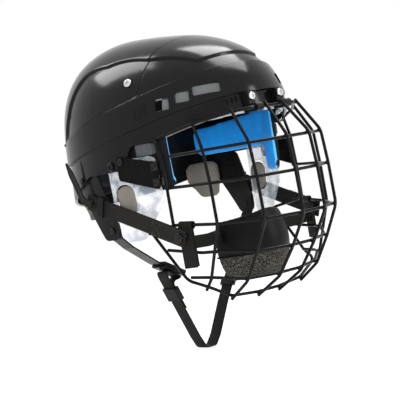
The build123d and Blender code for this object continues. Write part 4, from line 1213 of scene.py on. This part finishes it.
class HELMET_OT_side_webbing(bpy.types.Operator):
    """Lay the side webbing, folded and sewn at its front end, and the loose tails"""

    bl_idname = "helmet.side_webbing"
    bl_label = "Side webbing"

    def execute(self, context):
        width, thick = sizes().webbing_width, sizes().webbing_thickness
        for name, side in SIDES:
            rear, front = mirrored(SIDE_STRAP_REAR, side), mirrored(SIDE_STRAP_FRONT, side)
            along = (front - rear).normalized()
            out = Vector((side, 0, 0))
            out = (out - along * along.dot(out)).normalized()
            across = out.cross(along)
            low, high = out * thick / 2, out * thick * 1.5
            start = front - along * FOLD_TURN
            fold_back = front - along * SIDE_STRAP_FOLD * MM
            path = finely([rear + low, start + low], STRAP_STEP)
            for step in range(1, FOLD_STEPS):
                angle = math.pi * step / FOLD_STEPS
                round_end = along * FOLD_TURN * math.sin(angle) - out * (thick / 2) * math.cos(angle)
                path.append(start + out * thick + round_end)
            path += finely([start + high, fold_back + high], STRAP_STEP)
            strap = bmesh.new()
            extrude_along(strap, path, across, flat_section(width, thick * LAYER_SHARE))
            node = f"side_strap_{name}"
            add_piece(strap, f"side_webbing_{name}", "root", [woven_webbing], [node])
            seams = bmesh.new()
            top = out * 2 * thick
            inner, outer = fold_back + along * BOX_FROM_FOLD + top, front - along * BOX_FROM_END + top
            box_end = inner + along * BOX_LENGTH
            edge = across * (width / 2 - STITCH_MARGIN)
            for shift in (edge, -edge):
                add_stitches(seams, [inner + shift, outer + shift], out)
            for middle in (inner, box_end, outer):
                add_stitches(seams, [middle + edge, middle - edge], out)
            for shift in (edge, -edge):
                add_stitches(seams, [inner + shift, box_end - shift], out)
            add_piece(seams, f"side_stitches_{name}", "root", [sewing_thread])
        tails = bmesh.new()
        bend, step, tip_share, tip_steepness = 26 * MM, 2.5 * MM, 0.3, 4
        for _, side in SIDES:
            route = [mirrored((TAIL_X, y, z), side) for y, z in TAIL_ROUTE]
            extrude_along(
                tails, finely(rounded_path(route, bend), step), Vector((0, 1, 0)),
                flat_section(width / 2, thick * LAYER_SHARE),
                taper=lambda share: min(1, tip_share + (1 - share) * tip_steepness),
            )
        add_piece(tails, "strap_tails_webbing", "root", [woven_webbing], ["strap_tails"])
        return {"FINISHED"}


# Cage tabs: the loop round the wire, how far the two layers lie out from it, and the seams
TAB_WIDTH = 16 * MM
TAB_Y, TAB_LOW_Z, TAB_SEAM_Z = -116 * MM, -84 * MM, -52 * MM
TAB_LOOP, TAB_LOOP_STEPS = 3.05 * MM, 8
TAB_LOOP_HALF_TURNS = 1.22
TAB_INNER, TAB_OUTER, TAB_CLOSE = 0.9 * MM, 3.3 * MM, 4.4 * MM
TAB_STEP = 3 * MM
TAB_INNER_SHORTER, TAB_LOW_SEAM, TAB_STITCH_MARGIN = 1 * MM, 3 * MM, 2 * MM
STUD_RADIUS, STUD_LEAST = 3.4 * MM, 0.5 * MM
# How far the stud's outer end stays short of the two places that it stands between
STUD_GAP = 0.4 * MM


class HELMET_OT_cage_tabs(bpy.types.Operator):
    """Fold the tabs round the cage's side wires, and stand their studs on them"""

    bl_idname = "helmet.cage_tabs"
    bl_label = "Cage tabs"

    def execute(self, context):
        thick = sizes().webbing_thickness
        studs = bmesh.new()
        for name, side in SIDES:
            middle, along = wire_middle("cage_bar_4", side, TAB_Y)
            out = Vector((side, 0, 0))
            inner, outer = middle + out * TAB_INNER, middle + out * TAB_OUTER
            path = [Vector((inner.x, inner.y, TAB_LOW_Z + TAB_INNER_SHORTER)), inner - UP * TAB_CLOSE]
            for step in range(TAB_LOOP_STEPS + 1):
                angle = math.pi * TAB_LOOP_HALF_TURNS * (1 - step / TAB_LOOP_STEPS)
                path.append(middle + out * TAB_LOOP * math.cos(angle) + UP * TAB_LOOP * math.sin(angle))
            path += [outer - UP * TAB_CLOSE, Vector((outer.x, outer.y, TAB_LOW_Z))]
            tab = bmesh.new()
            layer = thick * TAB_LAYER_SHARE
            extrude_along(tab, finely(path, TAB_STEP), along, flat_section(TAB_WIDTH, layer))
            face = outer + out * layer / 2
            edge = along * (TAB_WIDTH / 2 - TAB_STITCH_MARGIN)
            for z in (TAB_SEAM_Z, TAB_LOW_Z + TAB_LOW_SEAM):
                level = Vector((face.x, face.y, z))
                add_stitches(tab, [level - edge, level + edge], out)
            node = f"cage_tab_{name}"
            add_piece(tab, f"{node}_webbing", "cage", [woven_webbing], [node])
            snap = mirrored(SIDE_STRAP_REAR, side).lerp(mirrored(SIDE_STRAP_FRONT, side), SNAP_SHARE)
            foot = Vector((outer.x, snap.y, snap.z))
            centre = Matrix.Translation((snap + foot) / 2 - out * STUD_GAP / 2)
            bmesh.ops.create_cone(
                studs, cap_ends=True, segments=24, radius1=STUD_RADIUS, radius2=STUD_RADIUS,
                depth=max(abs(snap.x - foot.x) - STUD_GAP, STUD_LEAST),
                matrix=centre @ Matrix.Rotation(math.pi / 2, 4, "Y"),
            )
        add_piece(studs, "tab_studs", "cage", [blackened_steel])
        return {"FINISHED"}


class HELMET_OT_chin_webbing(bpy.types.Operator):
    """Thread the chin webbing through its buckle and adjuster"""

    bl_idname = "helmet.chin_webbing"
    bl_label = "Chin webbing"

    def execute(self, context):
        route = [Vector((x, CHIN_PLANE_Y, z)) * MM for x, z in CHIN_ROUTE]
        bend, step = 6 * MM, 3 * MM
        path = finely(rounded_path(route, bend), step)
        strap = bmesh.new()
        section = flat_section(
            sizes().webbing_width * CHIN_WIDTH_SHARE, sizes().webbing_thickness * CHIN_LAYER_SHARE,
        )
        extrude_along(strap, path, Vector((0, 1, 0)), section)
        add_piece(strap, "chin_webbing", "root", [woven_webbing], ["chin_strap"])
        return {"FINISHED"}


STEPS = (
    HELMET_OT_stage, HELMET_OT_hard_parts, HELMET_OT_shell_trim, HELMET_OT_crown, HELMET_OT_welds,
    HELMET_OT_comfort_pads, HELMET_OT_liners, HELMET_OT_chin_cup, HELMET_OT_side_webbing,
    HELMET_OT_cage_tabs, HELMET_OT_chin_webbing,
)


class HELMET_PT_panel(bpy.types.Panel):
    """Sizes, colours and building steps of the helmet"""

    bl_label = "Ice Hockey Helmet"
    bl_space_type = "VIEW_3D"
    bl_region_type = "UI"
    bl_category = "Helmet"

    def draw(self, context):
        for group in (context.scene.helmet_sizes, context.scene.helmet_colours):
            box = self.layout.box()
            for name in type(group).__annotations__:
                box.prop(group, name)
        for step in STEPS:
            self.layout.operator(step.bl_idname)


CLASSES = (HelmetSizes, HelmetColours, *STEPS, HELMET_PT_panel)


def register():
    """Registers the classes and hangs the settings on the scene."""
    for cls in CLASSES:
        bpy.utils.register_class(cls)
    bpy.types.Scene.helmet_sizes = bpy.props.PointerProperty(type=HelmetSizes)
    bpy.types.Scene.helmet_colours = bpy.props.PointerProperty(type=HelmetColours)


def unregister():
    """Takes the settings and the classes away again."""
    del bpy.types.Scene.helmet_colours
    del bpy.types.Scene.helmet_sizes
    for cls in reversed(CLASSES):
        bpy.utils.unregister_class(cls)


def main():
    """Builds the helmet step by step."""
    register()
    for step in STEPS:
        group, name = step.bl_idname.split(".")
        getattr(getattr(bpy.ops, group), name)()


if __name__ == "__main__":
    main()
